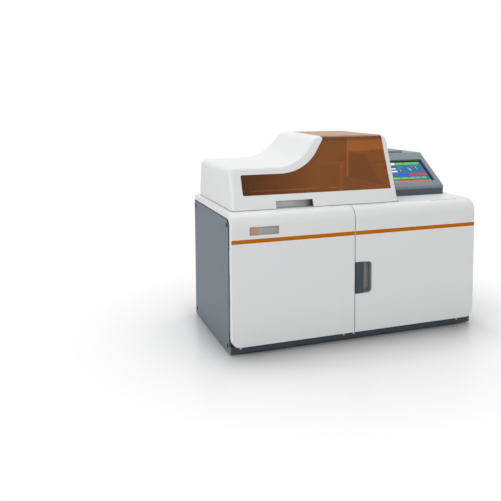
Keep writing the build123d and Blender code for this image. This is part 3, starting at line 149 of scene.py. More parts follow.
class Finish(Tree):
    # a surface finish: Principled shader plus whatever drives it
    def __init__(self, name):
        self.material = bpy.data.materials.new(name)
        self.material.use_nodes = True
        super().__init__(self.material.node_tree)
        self.nodes.clear()
        self.shader = self.nodes.new("ShaderNodeBsdfPrincipled")
        self.output = self.nodes.new("ShaderNodeOutputMaterial")
        self.links.new(self.shader.outputs[0], self.output.inputs[0])
        self.place = self.put("TexCoord", outlet=3)
        split = [self.put("SeparateXYZ", None, {"Vector": self.place}, outlet=axis) for axis in range(3)]
        self.x, self.y, self.z = split

    def set(self, **values):
        for key, value in values.items():
            self.feed(self.shader.inputs[key.replace("_", " ")], value)
        return self

    def noise(self, scale, detail, stretch=None):
        where = self.place
        if stretch:
            where = self.put("Mapping", None, {"Vector": self.place, "Scale": stretch})
        return self.put("TexNoise", None, {"Vector": where, "Scale": scale, "Detail": detail})

    def blend(self, factor, first, second):
        return self.put("Mix", {"data_type": "RGBA"}, {0: factor, 6: first, 7: second}, outlet=2)

    def bump(self, height, depth, strength):
        self.set(Normal=self.put("Bump", None, {"Strength": strength, "Distance": depth, "Height": height}))
        return self

    def between(self, value, low, high):
        return (value > low) * (value < high)

    def seeThrough(self, share, tint):
        # the shader covers a share of the surface, and the rest is clear in its tint
        clear = self.put("BsdfTransparent", None, {"Color": tint})
        mixed = self.put("MixShader", None, {0: share, 1: clear, 2: Wire(self, self.shader.outputs[0])})
        self.feed(self.output.inputs[0], mixed)
        return self


class Growth(Tree):
    # a Geometry Nodes tree with named inputs
    prefix = "GeometryNode"

    def __init__(self, name, inputs):
        self.group = bpy.data.node_groups.new(name, "GeometryNodeTree")
        super().__init__(self.group)
        face = self.group.interface
        face.new_socket("Geometry", in_out="OUTPUT", socket_type="NodeSocketGeometry")
        face.new_socket("Geometry", in_out="INPUT", socket_type="NodeSocketGeometry")
        for label, kind in inputs.items():
            face.new_socket(label, in_out="INPUT", socket_type="NodeSocket" + kind)
        self.inlet = self.nodes.new("NodeGroupInput")
        self.outlet = self.nodes.new("NodeGroupOutput")

    def take(self, label):
        return Wire(self, self.inlet.outputs[label])

    def vector(self, x, y, z):
        node = self.nodes.new("ShaderNodeCombineXYZ")
        for inlet, value in zip(node.inputs, (x, y, z)):
            self.feed(inlet, value)
        return Wire(self, node.outputs[0])

    def move(self, geometry, shift):
        return self.put("Transform", None, {"Geometry": geometry, "Translation": shift})

    def row(self, count, step=(0.0, 0.0, 0.0)):
        # points for the instances, all at the origin unless they step along
        return self.put("MeshLine", None, {"Count": count, "Offset": step})

    def scatter(self, points, shape, **given):
        # a copy of the shape on every point, with a Rotation or a Scale where given
        return self.put("InstanceOnPoints", None, {"Points": points, "Instance": shape, **given})

    def deliver(self, geometry):
        solid = self.put("RealizeInstances", None, {"Geometry": geometry})
        painted = self.put("SetMaterial", None, {"Geometry": solid, "Material": self.take("Finish")})
        self.feed(self.outlet.inputs[0], painted)
        return self


def grow(piece, growth, values):
    # runs a tree on a piece and keeps the result as a plain mesh
    modifier = piece.modifiers.new("grow", "NODES")
    modifier.node_group = growth.group
    for item in growth.group.interface.items_tree:
        if item.in_out == "INPUT" and item.name in values:
            modifier[item.identifier] = values[item.name]
    return settle(piece)


def settle(piece):
    # a piece's modifiers, or a text, become plain mesh
    bpy.context.view_layer.update()
    graph = bpy.context.evaluated_depsgraph_get()
    mesh = bpy.data.meshes.new_from_object(piece.evaluated_get(graph))
    piece.modifiers.clear()
    if piece.type == "MESH":
        piece.data = mesh
        mesh.name = piece.name
        return piece
    name = piece.name
    bpy.data.objects.remove(piece)
    return newPiece(name, mesh)


def newPiece(name, mesh):
    piece = bpy.data.objects.new(name, mesh)
    bpy.context.scene.collection.objects.link(piece)
    return piece


def meshFrom(name, points, faces=()):
    mesh = bpy.data.meshes.new(name)
    mesh.from_pydata([tuple(point) for point in points], [], [tuple(face) for face in faces])
    mesh.update()
    return mesh


def carry(piece, body, slot, *hidden, finish=None):
    # the piece rides on a body, may stand for CAD nodes, and gets its finish
    if finish:
        piece.data.materials.clear()
        piece.data.materials.append(finish.material)
    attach(piece, body)
    if hidden:
        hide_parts(*hidden)
    return piece


def dress(finish, *names):
    for name in names:
        for holder in cadNodes[name].material_slots:
            holder.material = finish.material


def toned(colour, share):
    # the same colour, darker or lighter
    return tuple(share * channel for channel in colour)


def reachFrom(across, up, centre):
    # distance from an axis that stands on the plane of two coordinates
    return ((across - centre[0]) ** 2.0 + (up - centre[1]) ** 2.0) ** 0.5


def mouldedPlastic(name, colour, grain, depth, shine, drift):
    skin = Finish(name)
    cloud = skin.noise(2.2, 3.0)
    pores = skin.noise(grain, 2.0)
    tone = skin.blend(cloud, toned(colour, 1 - 2 * drift), colour)
    skin.set(Base_Color=tone, Roughness=shine + 0.08 * pores)
    return skin.bump(pores, depth, 0.5)


coating = {"peel": 620.0, "depth": 0.0002, "strength": 0.35}


def powderCoat(name, colour, shine=0.42):
    skin = Finish(name)
    ripple = skin.noise(coating["peel"], 3.0)
    cloud = skin.noise(1.6, 4.0)
    skin.set(Base_Color=skin.blend(cloud, toned(colour, 0.93), colour), Roughness=shine + 0.12 * ripple)
    return skin.bump(ripple, coating["depth"], coating["strength"])


chassisPaintAndGapShade = {"pale": (0.60, 0.61, 0.60), "black": (0.008, 0.009, 0.010), "front": -0.2045, "side": 0.38}


def chassisCoatAndGapShade(paint):
    # pale coated frame, with black on the outer posts where they meet the doors: painted shade in the gaps
    # beside the doors, and the dark of the side panels' front flanges
    skin = Finish("chassisPaintAndGapShade")
    ripple = skin.noise(coating["peel"], 3.0)
    # painted shade: the black on the posts' fronts stands in for the shade in the gaps
    black = (skin.y < paint["front"]) * (skin.x.maths("ABSOLUTE", skin.x) > paint["side"])
    skin.set(Base_Color=skin.blend(black, paint["pale"], paint["black"]), Roughness=0.46 + 0.12 * ripple)
    return skin.bump(ripple, coating["depth"], coating["strength"])


def groundMetal(name, colour, along=(3.0, 900.0, 900.0), shine=0.28):
    skin = Finish(name)
    strokes = skin.noise(1.0, 4.0, along)
    tone = skin.blend(strokes, toned(colour, 0.8), colour)
    skin.set(Base_Color=tone, Metallic=1.0, Roughness=shine + 0.16 * strokes)
    return skin.bump(strokes, 0.00004, 0.4)


def whiteShell():
    # satin moulded shell with fine pores
    return mouldedPlastic("whiteShell", (0.765, 0.772, 0.775), 1500.0, 0.00006, 0.40, 0.006)


# the haze is the share of the sheet that its own colour covers, and more of it at the edges seen at a slant
amberSheet = {
    "tint": (0.86, 0.60, 0.38), "body": (0.51, 0.219, 0.068), "haze": 0.24, "edge": 0.45,
    # painted reflection on the roof: a paler colour, rougher and less clear
    "roof": (0.43, 0.208, 0.090), "roofFrom": 0.6442, "roofHaze": 0.30, "roofRough": 0.30,
    # painted shade: towards the left the tint and the colour turn darker
    "paintedShadeTint": (0.52, 0.34, 0.20), "paintedShadeBody": (0.27, 0.110, 0.036), "paintedShadeFrom": -0.13, "paintedShadeOver": 0.24,
    "bend": (0.200, 0.085, 0.030), "bendFrom": 0.6330, "bendHaze": 0.30,
}


def amberAcrylic(sheet):
    # tinted sheet, clear on the front; painted shade darkens it towards the left, it is darker in the bend
    # under the roof, and a painted reflection makes the roof paler and less clear
    skin = Finish("amberAcrylic")
    wave = skin.noise(9.0, 2.0)
    # painted reflection: the roof gets a paler colour and less clarity
    roof = skin.z > sheet["roofFrom"]
    bend = skin.between(skin.z, sheet["bendFrom"], sheet["roofFrom"])
    # painted shade: the colour and the tint darken towards the left
    left = ((sheet["paintedShadeFrom"] - skin.x) / sheet["paintedShadeOver"]).clamp()
    body = skin.blend(left, sheet["body"], sheet["paintedShadeBody"])
    body = skin.blend(bend, body, sheet["bend"])
    body = skin.blend(roof, body, sheet["roof"])
    skin.set(Base_Color=body, Roughness=0.05 + 0.03 * wave + sheet["roofRough"] * roof, IOR=1.42)
    grazing = skin.put("LayerWeight", None, {"Blend": 0.35}, outlet=1)
    share = sheet["haze"] + 0.04 * wave + sheet["edge"] * grazing ** 3.0
    share = share + sheet["bendHaze"] * bend + sheet["roofHaze"] * roof
    return skin.seeThrough(share, skin.blend(left, sheet["tint"], sheet["paintedShadeTint"]))


def clearMoulding(name, tint, body=0.35):
    skin = Finish(name)
    ripple = skin.noise(300.0, 1.0)
    skin.set(Base_Color=tint, Roughness=0.12 + 0.08 * ripple)
    return skin.seeThrough(body, tuple(0.5 + 0.5 * channel for channel in tint))


screenPlan = {
    "centre": (0.281, -0.0015, 0.5065), "rise": (0.835, 0.551), "picture": (0.190, 0.110), "glow": 1.0,
    "ground": (0.010, 0.130, 0.285),
    # every patch: from and to across, from and to up (0 to 1), colour
    "patches": [
        (0.06, 0.21, 0.86, 0.975, (0.13, 0.56, 0.0)), (0.22, 0.34, 0.86, 0.975, (0.0, 0.07, 0.17)),
        (0.35, 0.435, 0.86, 0.975, (0.80, 0.84, 0.86)), (0.445, 0.62, 0.86, 0.975, (0.13, 0.56, 0.0)),
        (0.634, 0.79, 0.86, 0.975, (0.13, 0.56, 0.0)), (0.80, 0.965, 0.86, 0.975, (0.13, 0.56, 0.0)),
        (0.05, 0.415, 0.715, 0.785, (0.0, 0.075, 0.18)), (0.20, 0.40, 0.645, 0.708, (0.82, 0.86, 0.88)),
        (0.16, 0.40, 0.50, 0.572, (0.82, 0.86, 0.88)), (0.10, 0.18, 0.56, 0.64, (0.35, 0.42, 0.46)),
        (0.88, 0.99, 0.765, 0.777, (0.14, 0.18, 0.09)), (0.80, 0.965, 0.520, 0.532, (0.14, 0.18, 0.09)),
        (0.44, 0.62, 0.465, 0.477, (0.10, 0.20, 0.20)), (0.45, 0.545, 0.745, 0.760, (0.25, 0.42, 0.50)),
        (0.72, 0.83, 0.765, 0.780, (0.25, 0.42, 0.50)), (0.66, 0.76, 0.610, 0.622, (0.20, 0.36, 0.45)),
        (0.445, 0.475, 0.625, 0.675, (0.10, 0.48, 0.06)), (0.650, 0.680, 0.660, 0.712, (0.12, 0.56, 0.04)),
        (0.672, 0.702, 0.598, 0.650, (0.80, 0.82, 0.70)), (0.470, 0.490, 0.545, 0.600, (0.62, 0.60, 0.50)),
        (0.690, 0.705, 0.520, 0.580, (0.62, 0.60, 0.50)), (0.835, 0.852, 0.665, 0.742, (0.60, 0.66, 0.68)),
        (0.850, 0.868, 0.600, 0.655, (0.42, 0.30, 0.22)), (0.02, 0.21, 0.32, 0.41, (0.022, 0.066, 0.72)),
        (0.223, 0.405, 0.32, 0.41, (0.022, 0.066, 0.72)), (0.415, 0.603, 0.32, 0.41, (0.022, 0.066, 0.80)),
        (0.625, 0.800, 0.32, 0.41, (0.62, 0.028, 0.022)), (0.818, 0.985, 0.32, 0.41, (0.68, 0.035, 0.022)),
        (0.02, 0.18, 0.14, 0.225, (0.16, 0.50, 0.03)), (0.202, 0.37, 0.14, 0.225, (0.18, 0.56, 0.03)),
        (0.39, 0.547, 0.14, 0.225, (0.16, 0.54, 0.02)), (0.562, 0.686, 0.14, 0.225, (0.18, 0.56, 0.03)),
        (0.70, 0.804, 0.14, 0.225, (0.16, 0.54, 0.02)), (0.824, 0.93, 0.14, 0.225, (0.16, 0.54, 0.02)),
        (0.02, 0.995, 0.006, 0.066, (0.70, 0.125, 0.022)), (0.222, 0.28, 0.006, 0.066, (0.14, 0.60, 0.0)),
    ],
}


def litScreen(plan):
    # cover glass over a lit picture: plain fields and buttons, with a dark border
    skin = Finish("screenGlass")
    middle = plan["centre"]
    across = (skin.x - middle[0]) / plan["picture"][0] + 0.5
    slope = (skin.y - middle[1]) * plan["rise"][0] + (skin.z - middle[2]) * plan["rise"][1]
    up = slope / plan["picture"][1] + 0.5
    shown = skin.blend(skin.noise(18.0, 1.0), plan["ground"], toned(plan["ground"], 1.15))
    for left, right, low, high, colour in plan["patches"]:
        mask = skin.between(across, left, right) * skin.between(up, low, high)
        shown = skin.blend(mask, shown, colour)
    inside = skin.between(across, 0.0, 1.0) * skin.between(up, 0.0, 1.0)
    smear = skin.noise(70.0, 3.0)
    skin.set(Base_Color=(0.006, 0.007, 0.009), Roughness=0.10 + 0.06 * smear,
             Emission_Color=skin.blend(inside, (0.004, 0.005, 0.007), shown), Emission_Strength=plan["glow"],
             Specular_IOR_Level=0.2)
    return skin


def stripePaint():
    skin = Finish("stripePaint")
    flake = skin.noise(2600.0, 2.0)
    cloud = skin.noise(5.0, 2.0)
    tone = skin.blend(cloud, (0.48, 0.132, 0.0), (0.52, 0.145, 0.0))
    skin.set(Base_Color=tone, Roughness=0.42 + 0.08 * flake, Specular_IOR_Level=0.05)
    return skin.bump(flake, 0.00003, 0.4)


def badgeMetal(box):
    # brushed plate that turns from copper at the left to grey at the right, with a thin engraved border
    low, high = box
    skin = Finish("badgeMetal")
    strokes = skin.noise(1.0, 4.0, (3.0, 900.0, 900.0))
    across = (skin.x - low.x) / (high.x - low.x)
    up = (skin.z - low.z) / (high.z - low.z)
    stops = [(0.0, (0.42, 0.24, 0.13)), (0.30, (0.46, 0.30, 0.19)), (0.36, (0.36, 0.36, 0.36)),
             (1.0, (0.28, 0.28, 0.285))]
    copper = skin.put("ValToRGB", {"stops": stops}, {0: across})
    edge = 1.0 - skin.between(across, 0.03, 0.97) * skin.between(up, 0.10, 0.90)
    inner = 1.0 - skin.between(across, 0.045, 0.955) * skin.between(up, 0.16, 0.84)
    line = inner - edge
    tone = skin.blend(line, copper, (0.20, 0.20, 0.20))
    skin.set(Base_Color=tone, Metallic=0.35, Roughness=0.42 + 0.15 * strokes)
    return skin.bump(strokes - line, 0.00006, 0.5)


def consoleTexture(name, colour):
    # spark-eroded texture of the console's mouldings
    skin = Finish(name)
    grain = skin.put("TexVoronoi", None, {"Vector": skin.place, "Scale": 900.0})
    cloud = skin.noise(3.0, 3.0)
    skin.set(Base_Color=skin.blend(cloud, toned(colour, 0.94), colour), Roughness=0.46 + 0.10 * grain)
    return skin.bump(grain, 0.00012, 0.45)


def pocketPaintedShade(box):
    # finger pocket under the hood's edge: painted shade darkens it towards the deep end at the right
    low, high = box
    skin = Finish("gripPocketPaintedShade")
    pores = skin.noise(1500.0, 2.0)
    across = (skin.x - low.x) / (high.x - low.x)
    stops = [(0.0, (0.58, 0.585, 0.59)), (0.45, (0.50, 0.505, 0.51)), (0.80, (0.33, 0.335, 0.34)),
             (0.97, (0.06, 0.062, 0.065))]
    shade = skin.put("ValToRGB", {"stops": stops}, {0: across})
    skin.set(Base_Color=shade, Roughness=0.45 + 0.08 * pores)
    return skin.bump(pores, 0.00006, 0.5)


def matteScrew():
    # blackened screws that hardly shine
    skin = mouldedPlastic("blackScrew", (0.006, 0.007, 0.008), 1800.0, 0.00004, 0.50, 0.10)
    return skin.set(Specular_IOR_Level=0.1)


def blackRubber():
    skin = Finish("blackRubber")
    dust = skin.noise(240.0, 4.0)
    tone = skin.blend(dust, (0.018, 0.018, 0.019), (0.035, 0.035, 0.036))
    skin.set(Base_Color=tone, Roughness=0.72 + 0.15 * dust)
    return skin.bump(dust, 0.0002, 0.4)


liquidBottles = {"level": 0.142, "capFrom": 0.199, "split": 0.22, "body": (0.78, 0.79, 0.77),
                 "liquid": (0.60, 0.68, 0.70), "caps": ((0.02, 0.16, 0.34), (0.42, 0.04, 0.03))}


def milkyBottle(plan):
    # blow-moulded bottles: the liquid shows to two thirds, a blue cap on the left one and a red on the right
    skin = Finish("milkyBottle")
    ripple = skin.noise(60.0, 2.0)
    body = skin.blend(skin.z < plan["level"], plan["body"], plan["liquid"])
    capTint = skin.blend(skin.x > plan["split"], *plan["caps"])
    skin.set(Base_Color=skin.blend(skin.z > plan["capFrom"], body, capTint), Roughness=0.34 + 0.10 * ripple)
    return skin.bump(ripple, 0.0003, 0.25)


circuitBoard = {"face": -0.03175, "tracksPerMetre": 260.0, "canEnd": -0.0402}


def boardGreen(board):
    # solder mask with copper tracks; whatever stands off the board is dark moulding
    skin = Finish("boardGreen")
    rows = (skin.z * board["tracksPerMetre"]) % 1.0
    lanes = skin.noise(28.0, 1.0)
    track = skin.between(rows, 0.40, 0.60) * (lanes > 0.5)
    mask = skin.blend(track, (0.010, 0.085, 0.035), (0.025, 0.17, 0.075))
    raised = skin.x < board["face"]
    skin.set(Base_Color=skin.blend(raised, mask, (0.02, 0.02, 0.022)), Roughness=0.32 + 0.3 * raised)
    return skin.bump(track, 0.00005, 0.5)


paperRoll = {"axis": (0.158, 0.544), "turnsPerMetre": 5200.0, "core": 0.0085}


def paperRollFinish(roll):
    # white paper with its wound edge at the ends and a dark core
    skin = Finish("paperRoll")
    reach = reachFrom(skin.y, skin.z, roll["axis"])
    winding = (reach * roll["turnsPerMetre"]) % 1.0
    sheet = skin.blend(winding, (0.80, 0.80, 0.78), (0.88, 0.88, 0.86))
    skin.set(Base_Color=skin.blend(reach < roll["core"], sheet, (0.05, 0.05, 0.055)), Roughness=0.75)
    return skin.bump(winding, 0.00004, 0.4)


disks = {
    "sample": {"centre": (-0.005, 0.077), "rings": (0.0972, 0.0735, 0.0400), "body": "sample_disk"},
    "reaction": {"centre": (-0.235, 0.062), "rings": (0.0972, 0.0820, 0.0300), "body": "reaction_disk"},
}
diskFace = {"printFrom": 0.4315, "halfLine": 0.0004, "turnsPerMetre": 1900.0}
vessels = {"innerReach": 0.0735, "capFrom": 0.4342, "tube": (0.72, 0.78, 0.80), "bottle": (0.70, 0.71, 0.70),
           "cap": (0.03, 0.20, 0.42), "share": 0.45}


def vesselFinish(plan, centre):
    # clear tubes on the outer ring; on the inner ring pale reagent bottles with blue caps
    skin = Finish("vessels")
    inner = reachFrom(skin.x, skin.y, centre) < plan["innerReach"]
    grain = skin.noise(500.0, 1.0)
    bottle = skin.blend(skin.z > plan["capFrom"], plan["bottle"], plan["cap"])
    skin.set(Base_Color=skin.blend(inner, plan["tube"], bottle), Roughness=0.22 + 0.2 * grain)
    return skin.seeThrough(plan["share"] + (1 - plan["share"]) * inner, (0.92, 0.94, 0.95))


def diskFinish(name, disk, face):
    # dark satin disk with pale printed rings
    skin = Finish(name)
    reach = reachFrom(skin.x, skin.y, disk["centre"])
    turned = (reach * face["turnsPerMetre"]) % 1.0
    half = face["halfLine"]
    lines = [skin.between(reach, radius - half, radius + half) for radius in disk["rings"]]
    printed = (lines[0] + lines[1] + lines[2]) * (skin.z > face["printFrom"])
    dark = skin.blend(turned, (0.030, 0.034, 0.038), (0.036, 0.040, 0.045))
    skin.set(Base_Color=skin.blend(printed, dark, (0.55, 0.57, 0.58)), Roughness=0.34 + 0.05 * turned)
    return skin.bump(turned, 0.00003, 0.3)


def capacitorFinish(board):
    # dark sleeve with a bare metal end
    skin = Finish("capacitor")
    end = skin.x < board["canEnd"]
    wrap = skin.noise(420.0, 2.0)
    tone = skin.blend(end, (0.012, 0.020, 0.040), (0.60, 0.61, 0.62))
    skin.set(Base_Color=tone, Metallic=0.9 * end, Roughness=0.30 + 0.12 * wrap)
    return skin.bump(wrap, 0.00005, 0.3)


finishes = {
    "white": whiteShell(),
    "slate": powderCoat("slatePaint", (0.128, 0.163, 0.190)),
    "plinth": powderCoat("plinthPaint", (0.033, 0.047, 0.060), 0.40),
    "pale": powderCoat("palePaint", (0.62, 0.63, 0.62)),
    "stripe": stripePaint(),
    "amber": amberAcrylic(amberSheet),
    "console": consoleTexture("consoleMoulding", (0.195, 0.235, 0.262)),
    "consoleBase": consoleTexture("consoleBaseMoulding", (0.062, 0.082, 0.100)),
    "cover": consoleTexture("printerCoverMoulding", (0.215, 0.260, 0.290)),
    "badge": badgeMetal(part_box("badge_plate")),
    # the handle cup is grey moulding, darkened further by painted shade of its recess
    "cup": mouldedPlastic("handleCupPaintedShade", (0.31, 0.315, 0.32), 1500.0, 0.00006, 0.34, 0.03),
    "grip": mouldedPlastic("handleGrip", (0.027, 0.040, 0.051), 1800.0, 0.00008, 0.36, 0.05),
    "black": mouldedPlastic("blackMoulding", (0.022, 0.023, 0.025), 1600.0, 0.00008, 0.42, 0.05),
    "rubber": blackRubber(),
    "steel": groundMetal("groundSteel", (0.56, 0.57, 0.58)),
    "upright": groundMetal("groundRod", (0.60, 0.61, 0.62), (900.0, 900.0, 3.0), 0.16),
    "bronze": groundMetal("bearingBronze", (0.55, 0.38, 0.18), (900.0, 900.0, 6.0), 0.34),
    "aluminium": groundMetal("anodised", (0.70, 0.71, 0.72), (60.0, 60.0, 900.0), 0.34),
    "screw": matteScrew(),
    "chassis": chassisCoatAndGapShade(chassisPaintAndGapShade),
    "pocket": pocketPaintedShade(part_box("hood_grip_pocket")),
    "arm": mouldedPlastic("armShell", (0.82, 0.83, 0.83), 1500.0, 0.00004, 0.28, 0.01),
    "cuvette": clearMoulding("cuvetteMoulding", (0.80, 0.88, 0.92)),
    "milky": mouldedPlastic("milkyMoulding", (0.72, 0.73, 0.70), 500.0, 0.00005, 0.40, 0.02),
    "bottle": milkyBottle(liquidBottles),
    "board": boardGreen(circuitBoard),
    "paper": paperRollFinish(paperRoll),
    "vessel": vesselFinish(vessels, disks["sample"]["centre"]),
    "reactionDisk": diskFinish("reactionDisk", disks["reaction"], diskFace),
    "sampleDisk": diskFinish("sampleDisk", disks["sample"], diskFace),
    "glass": litScreen(screenPlan),
    "serum": clearMoulding("serum", (0.80, 0.52, 0.10), 0.75),
    "reagent": clearMoulding("reagent", (0.86, 0.80, 0.42), 0.60),
    "print": mouldedPlastic("whitePrint", (0.80, 0.81, 0.81), 2200.0, 0.00002, 0.50, 0.01),
    "paleScrew": groundMetal("brightZinc", (0.62, 0.63, 0.64), (400.0, 400.0, 400.0), 0.30),
    "wire": groundMetal("chromedWire", (0.62, 0.63, 0.65), (300.0, 300.0, 300.0), 0.22),
    "plate": groundMetal("blankPlate", (0.66, 0.67, 0.68), (4.0, 900.0, 900.0), 0.36),
    "capacitor": capacitorFinish(circuitBoard),
}
print("finishes made:", len(finishes))

dress(finishes["slate"], "left_side_panel", "right_side_panel", "back_panel")
dress(finishes["plinth"], "base_tray")
dress(finishes["chassis"], "chassis_frame")
dress(finishes["pocket"], "hood_grip_pocket")
dress(finishes["pale"], "bay_divider", "work_pan", "left_door_liner", "right_door_liner")
dress(finishes["white"], "top_cover", "left_door_skin", "right_door_skin", "hood_shell")
dress(finishes["stripe"], "left_stripe", "right_stripe")
dress(finishes["amber"], "hood_window")
dress(finishes["console"], "console_housing")
dress(finishes["consoleBase"], "console_base")
dress(finishes["cover"], "printer_cover")
dress(finishes["glass"], "touch_screen")
dress(finishes["badge"], "badge_plate")
dress(finishes["cup"], "handle_cup")
dress(finishes["grip"], "handle_grip")
dress(finishes["black"], "power_inlet", "power_switch", "printer_bay", "fan_housing", "fan_rotor",
      "pump_body", "stepper_motors")
dress(finishes["rubber"], "rubber_pads", "platen_roller", "drive_belts")
dress(finishes["steel"], "hinge_pins", "hood_hinge_bases", "hood_hinge_leaves", "door_hinge_fixed_leaves")
dress(finishes["upright"], "guide_rods", "syringe_plunger")
dress(finishes["bronze"], "pan_bearings")
dress(finishes["aluminium"], "power_supply", "syringe_barrel", "reaction_motor_pulley", "sample_motor_pulley",
      "probe_carriage", "stirrer_carriage")
dress(finishes["arm"], "probe_arm", "stirrer_arm", "wash_head")
dress(finishes["milky"], "wash_wells", "pump_rotor")
dress(finishes["cuvette"], "cuvettes")
dress(finishes["bottle"], "bottles")
dress(finishes["board"], "main_board")
dress(finishes["paper"], "paper_roll")
dress(finishes["vessel"], "sample_vessels")
dress(finishes["reactionDisk"], "reaction_disk")
dress(finishes["sampleDisk"], "sample_disk")
dress(finishes["screw"], "case_screws")
print("CAD pieces dressed")

screwHead = {"sides": 28, "dome": 0.34, "recess": 0.26}
outward = {"left": (0.0, -90.0, 0.0), "right": (0.0, 90.0, 0.0), "front": (90.0, 0.0, 0.0),
           "rear": (-90.0, 0.0, 0.0)}


def screwTree(head):
    # a domed screw head with a cross recess on every point, turned by the point's own angles
    inlets = {"Radius": "Float", "Height": "Float", "Recess": "Float", "Finish": "Material"}
    tree = Growth("screwHeads", inlets)
    radius, height, recess = [tree.take(label) for label in ("Radius", "Height", "Recess")]
    blank = tree.put("MeshCylinder", None, {"Vertices": head["sides"], "Side Segments": 1, "Fill Segments": 3,
                                            "Radius": radius, "Depth": height})
    blank = tree.move(blank, tree.vector(0.0, 0.0, height * 0.5))
    spot = tree.put("InputPosition")
    x, y, z = [tree.put("ShaderNodeSeparateXYZ", None, {"Vector": spot}, outlet=axis) for axis in range(3)]
    reach = (x * x + y * y) ** 0.5 / radius
    sink = (z > height * 0.5) * height * head["dome"] * reach * reach
    domed = tree.put("SetPosition", None, {"Geometry": blank, "Offset": tree.vector(0.0, 0.0, 0.0 - sink)})
    arms = []
    for wide, deep in ((1.0, recess), (recess, 1.0)):
        size = tree.vector(radius * wide, radius * deep, height)
        cube = tree.put("MeshCube", None, {"Size": size})
        arms.append(tree.move(cube, tree.vector(0.0, 0.0, height)))
    headShape = tree.put("MeshBoolean", {"operation": "DIFFERENCE"}, {"Mesh 1": domed, "Mesh 2": arms})
    turn = tree.put("InputNamedAttribute", {"data_type": "FLOAT_VECTOR"}, {"Name": "turn"})
    return tree.deliver(tree.scatter(tree.take("Geometry"), headShape, Rotation=turn))


screwHeads = screwTree(screwHead)


def screws(name, spots, size, finish, *hidden):
    # spots are pairs of a side's name and a point; the pale finish means bright steel, the other is black
    mesh = meshFrom(name, [point for face, point in spots])
    turns = mesh.attributes.new("turn", "FLOAT_VECTOR", "POINT")
    for number, (face, point) in enumerate(spots):
        turns.data[number].vector = [math.radians(angle) for angle in outward[face]]
    values = {"Radius": size[0], "Height": size[1], "Recess": screwHead["recess"],
              "Finish": finishes[finish].material}
    piece = grow(newPiece(name, mesh), screwHeads, values)
    return carry(piece, "cabinet", "steel" if finish == "paleScrew" else "screw_black", *hidden)


cabinetScrews = {
    "side": {"across": 0.425, "along": (-0.190, 0.214), "up": (0.024, 0.393), "size": (0.0068, 0.0012)},
    "plinth": {"across": (-0.393, -0.051, -0.016, 0.373), "face": -0.218, "up": 0.019,
               "size": (0.003, 0.0012)},
    "rear": {"face": 0.234, "size": (0.0032, 0.0014),
             "places": [(x, z) for x in (-0.408, 0.408) for z in (0.034, 0.205, 0.392)] +
                       [(x, z) for x in (-0.14, 0.14) for z in (0.034, 0.392)]},
}
flank, plinth, rear = cabinetScrews["side"], cabinetScrews["plinth"], cabinetScrews["rear"]
flankSpots = [(name, (sign * flank["across"], y, z)) for name, sign in (("left", -1), ("right", 1))
              for y in flank["along"] for z in flank["up"]]
plinthSpots = [("front", (x, plinth["face"], plinth["up"])) for x in plinth["across"]]
rearSpots = [("rear", (x, rear["face"], z)) for x, z in rear["places"]]
screws("sideScrews", flankSpots, flank["size"], "screw", "case_screws")
screws("plinthScrews", plinthSpots, plinth["size"], "paleScrew", "case_screws")
screws("rearScrews", rearSpots, rear["size"], "screw")
print("screws placed")

sideGapShadow = {"face": 0.4250, "proud": 0.0005, "width": 0.0026, "front": -0.2100, "rear": 0.2320, "low": 0.0270,
            "top": 0.4130, "corner": 0.026, "steps": 10}


def sideGapShadowStrip(sideShadow, side):
    # black strip along the front and top edges of a side panel: painted shade, standing in for the shadow in
    # the gap round the panel
    bend = (sideShadow["front"] + sideShadow["corner"], sideShadow["top"] - sideShadow["corner"])
    stations = [((sideShadow["front"], sideShadow["low"]), (1, 0))]
    for step in range(sideShadow["steps"] + 1):
        angle = math.pi - 0.5 * math.pi * step / sideShadow["steps"]
        out = (math.cos(angle), math.sin(angle))
        point = (bend[0] + sideShadow["corner"] * out[0], bend[1] + sideShadow["corner"] * out[1])
        stations.append((point, (-out[0], -out[1])))
    stations.append(((sideShadow["rear"], sideShadow["top"]), (0, -1)))
    verts = []
    for (y, z), inward in stations:
        for depth in (0.0, sideShadow["width"]):
            for lift in (0.0, sideShadow["proud"]):
                verts.append((side * (sideShadow["face"] + lift), y + depth * inward[0], z + depth * inward[1]))
    faces = []
    last = 4 * (len(stations) - 1)
    for here in range(0, last, 4):
        after = here + 4
        faces += [(here + i, here + j, after + j, after + i) for i, j in ((0, 1), (1, 3), (3, 2), (2, 0))]
    faces += [(0, 2, 3, 1), (last, last + 1, last + 3, last + 2)]
    mesh = meshFrom("sideGapShadow", verts, faces)
    outside = bmesh.new()
    outside.from_mesh(mesh)
    bmesh.ops.recalc_face_normals(outside, faces=outside.faces)
    outside.to_mesh(mesh)
    outside.free()
    return newPiece("leftSideGapShadow" if side < 0 else "rightSideGapShadow", mesh)


# black strips on the side panels' edges: painted shade of the gaps round them
for side in (-1, 1):
    carry(sideGapShadowStrip(sideGapShadow, side), "cabinet", "black_rubber", finish=finishes["rubber"])
print("edge seals fitted")

hoodGapShadow = {"low": 0.4322, "high": 0.4334, "wide": 0.0014, "left": -0.4080, "right": 0.1580,
           "front": -0.1925, "rear": 0.214,
           "runs": ((-0.4080, -0.3460), (-0.3260, -0.2690), (-0.1430, 0.0340), (0.0540, 0.1580))}


def boxes(name, spans):
    # closed boxes in one mesh; each span is its limits along the three axes
    verts, faces = [], []
    for along, across, up in spans:
        first = len(verts)
        verts += [(x, y, z) for x in along for y in across for z in up]
        for face in ((0, 1, 3, 2), (4, 6, 7, 5), (0, 4, 5, 1), (2, 3, 7, 6), (0, 2, 6, 4), (1, 5, 7, 3)):
            faces.append([first + corner for corner in face])
    return newPiece(name, meshFrom(name, verts, faces))


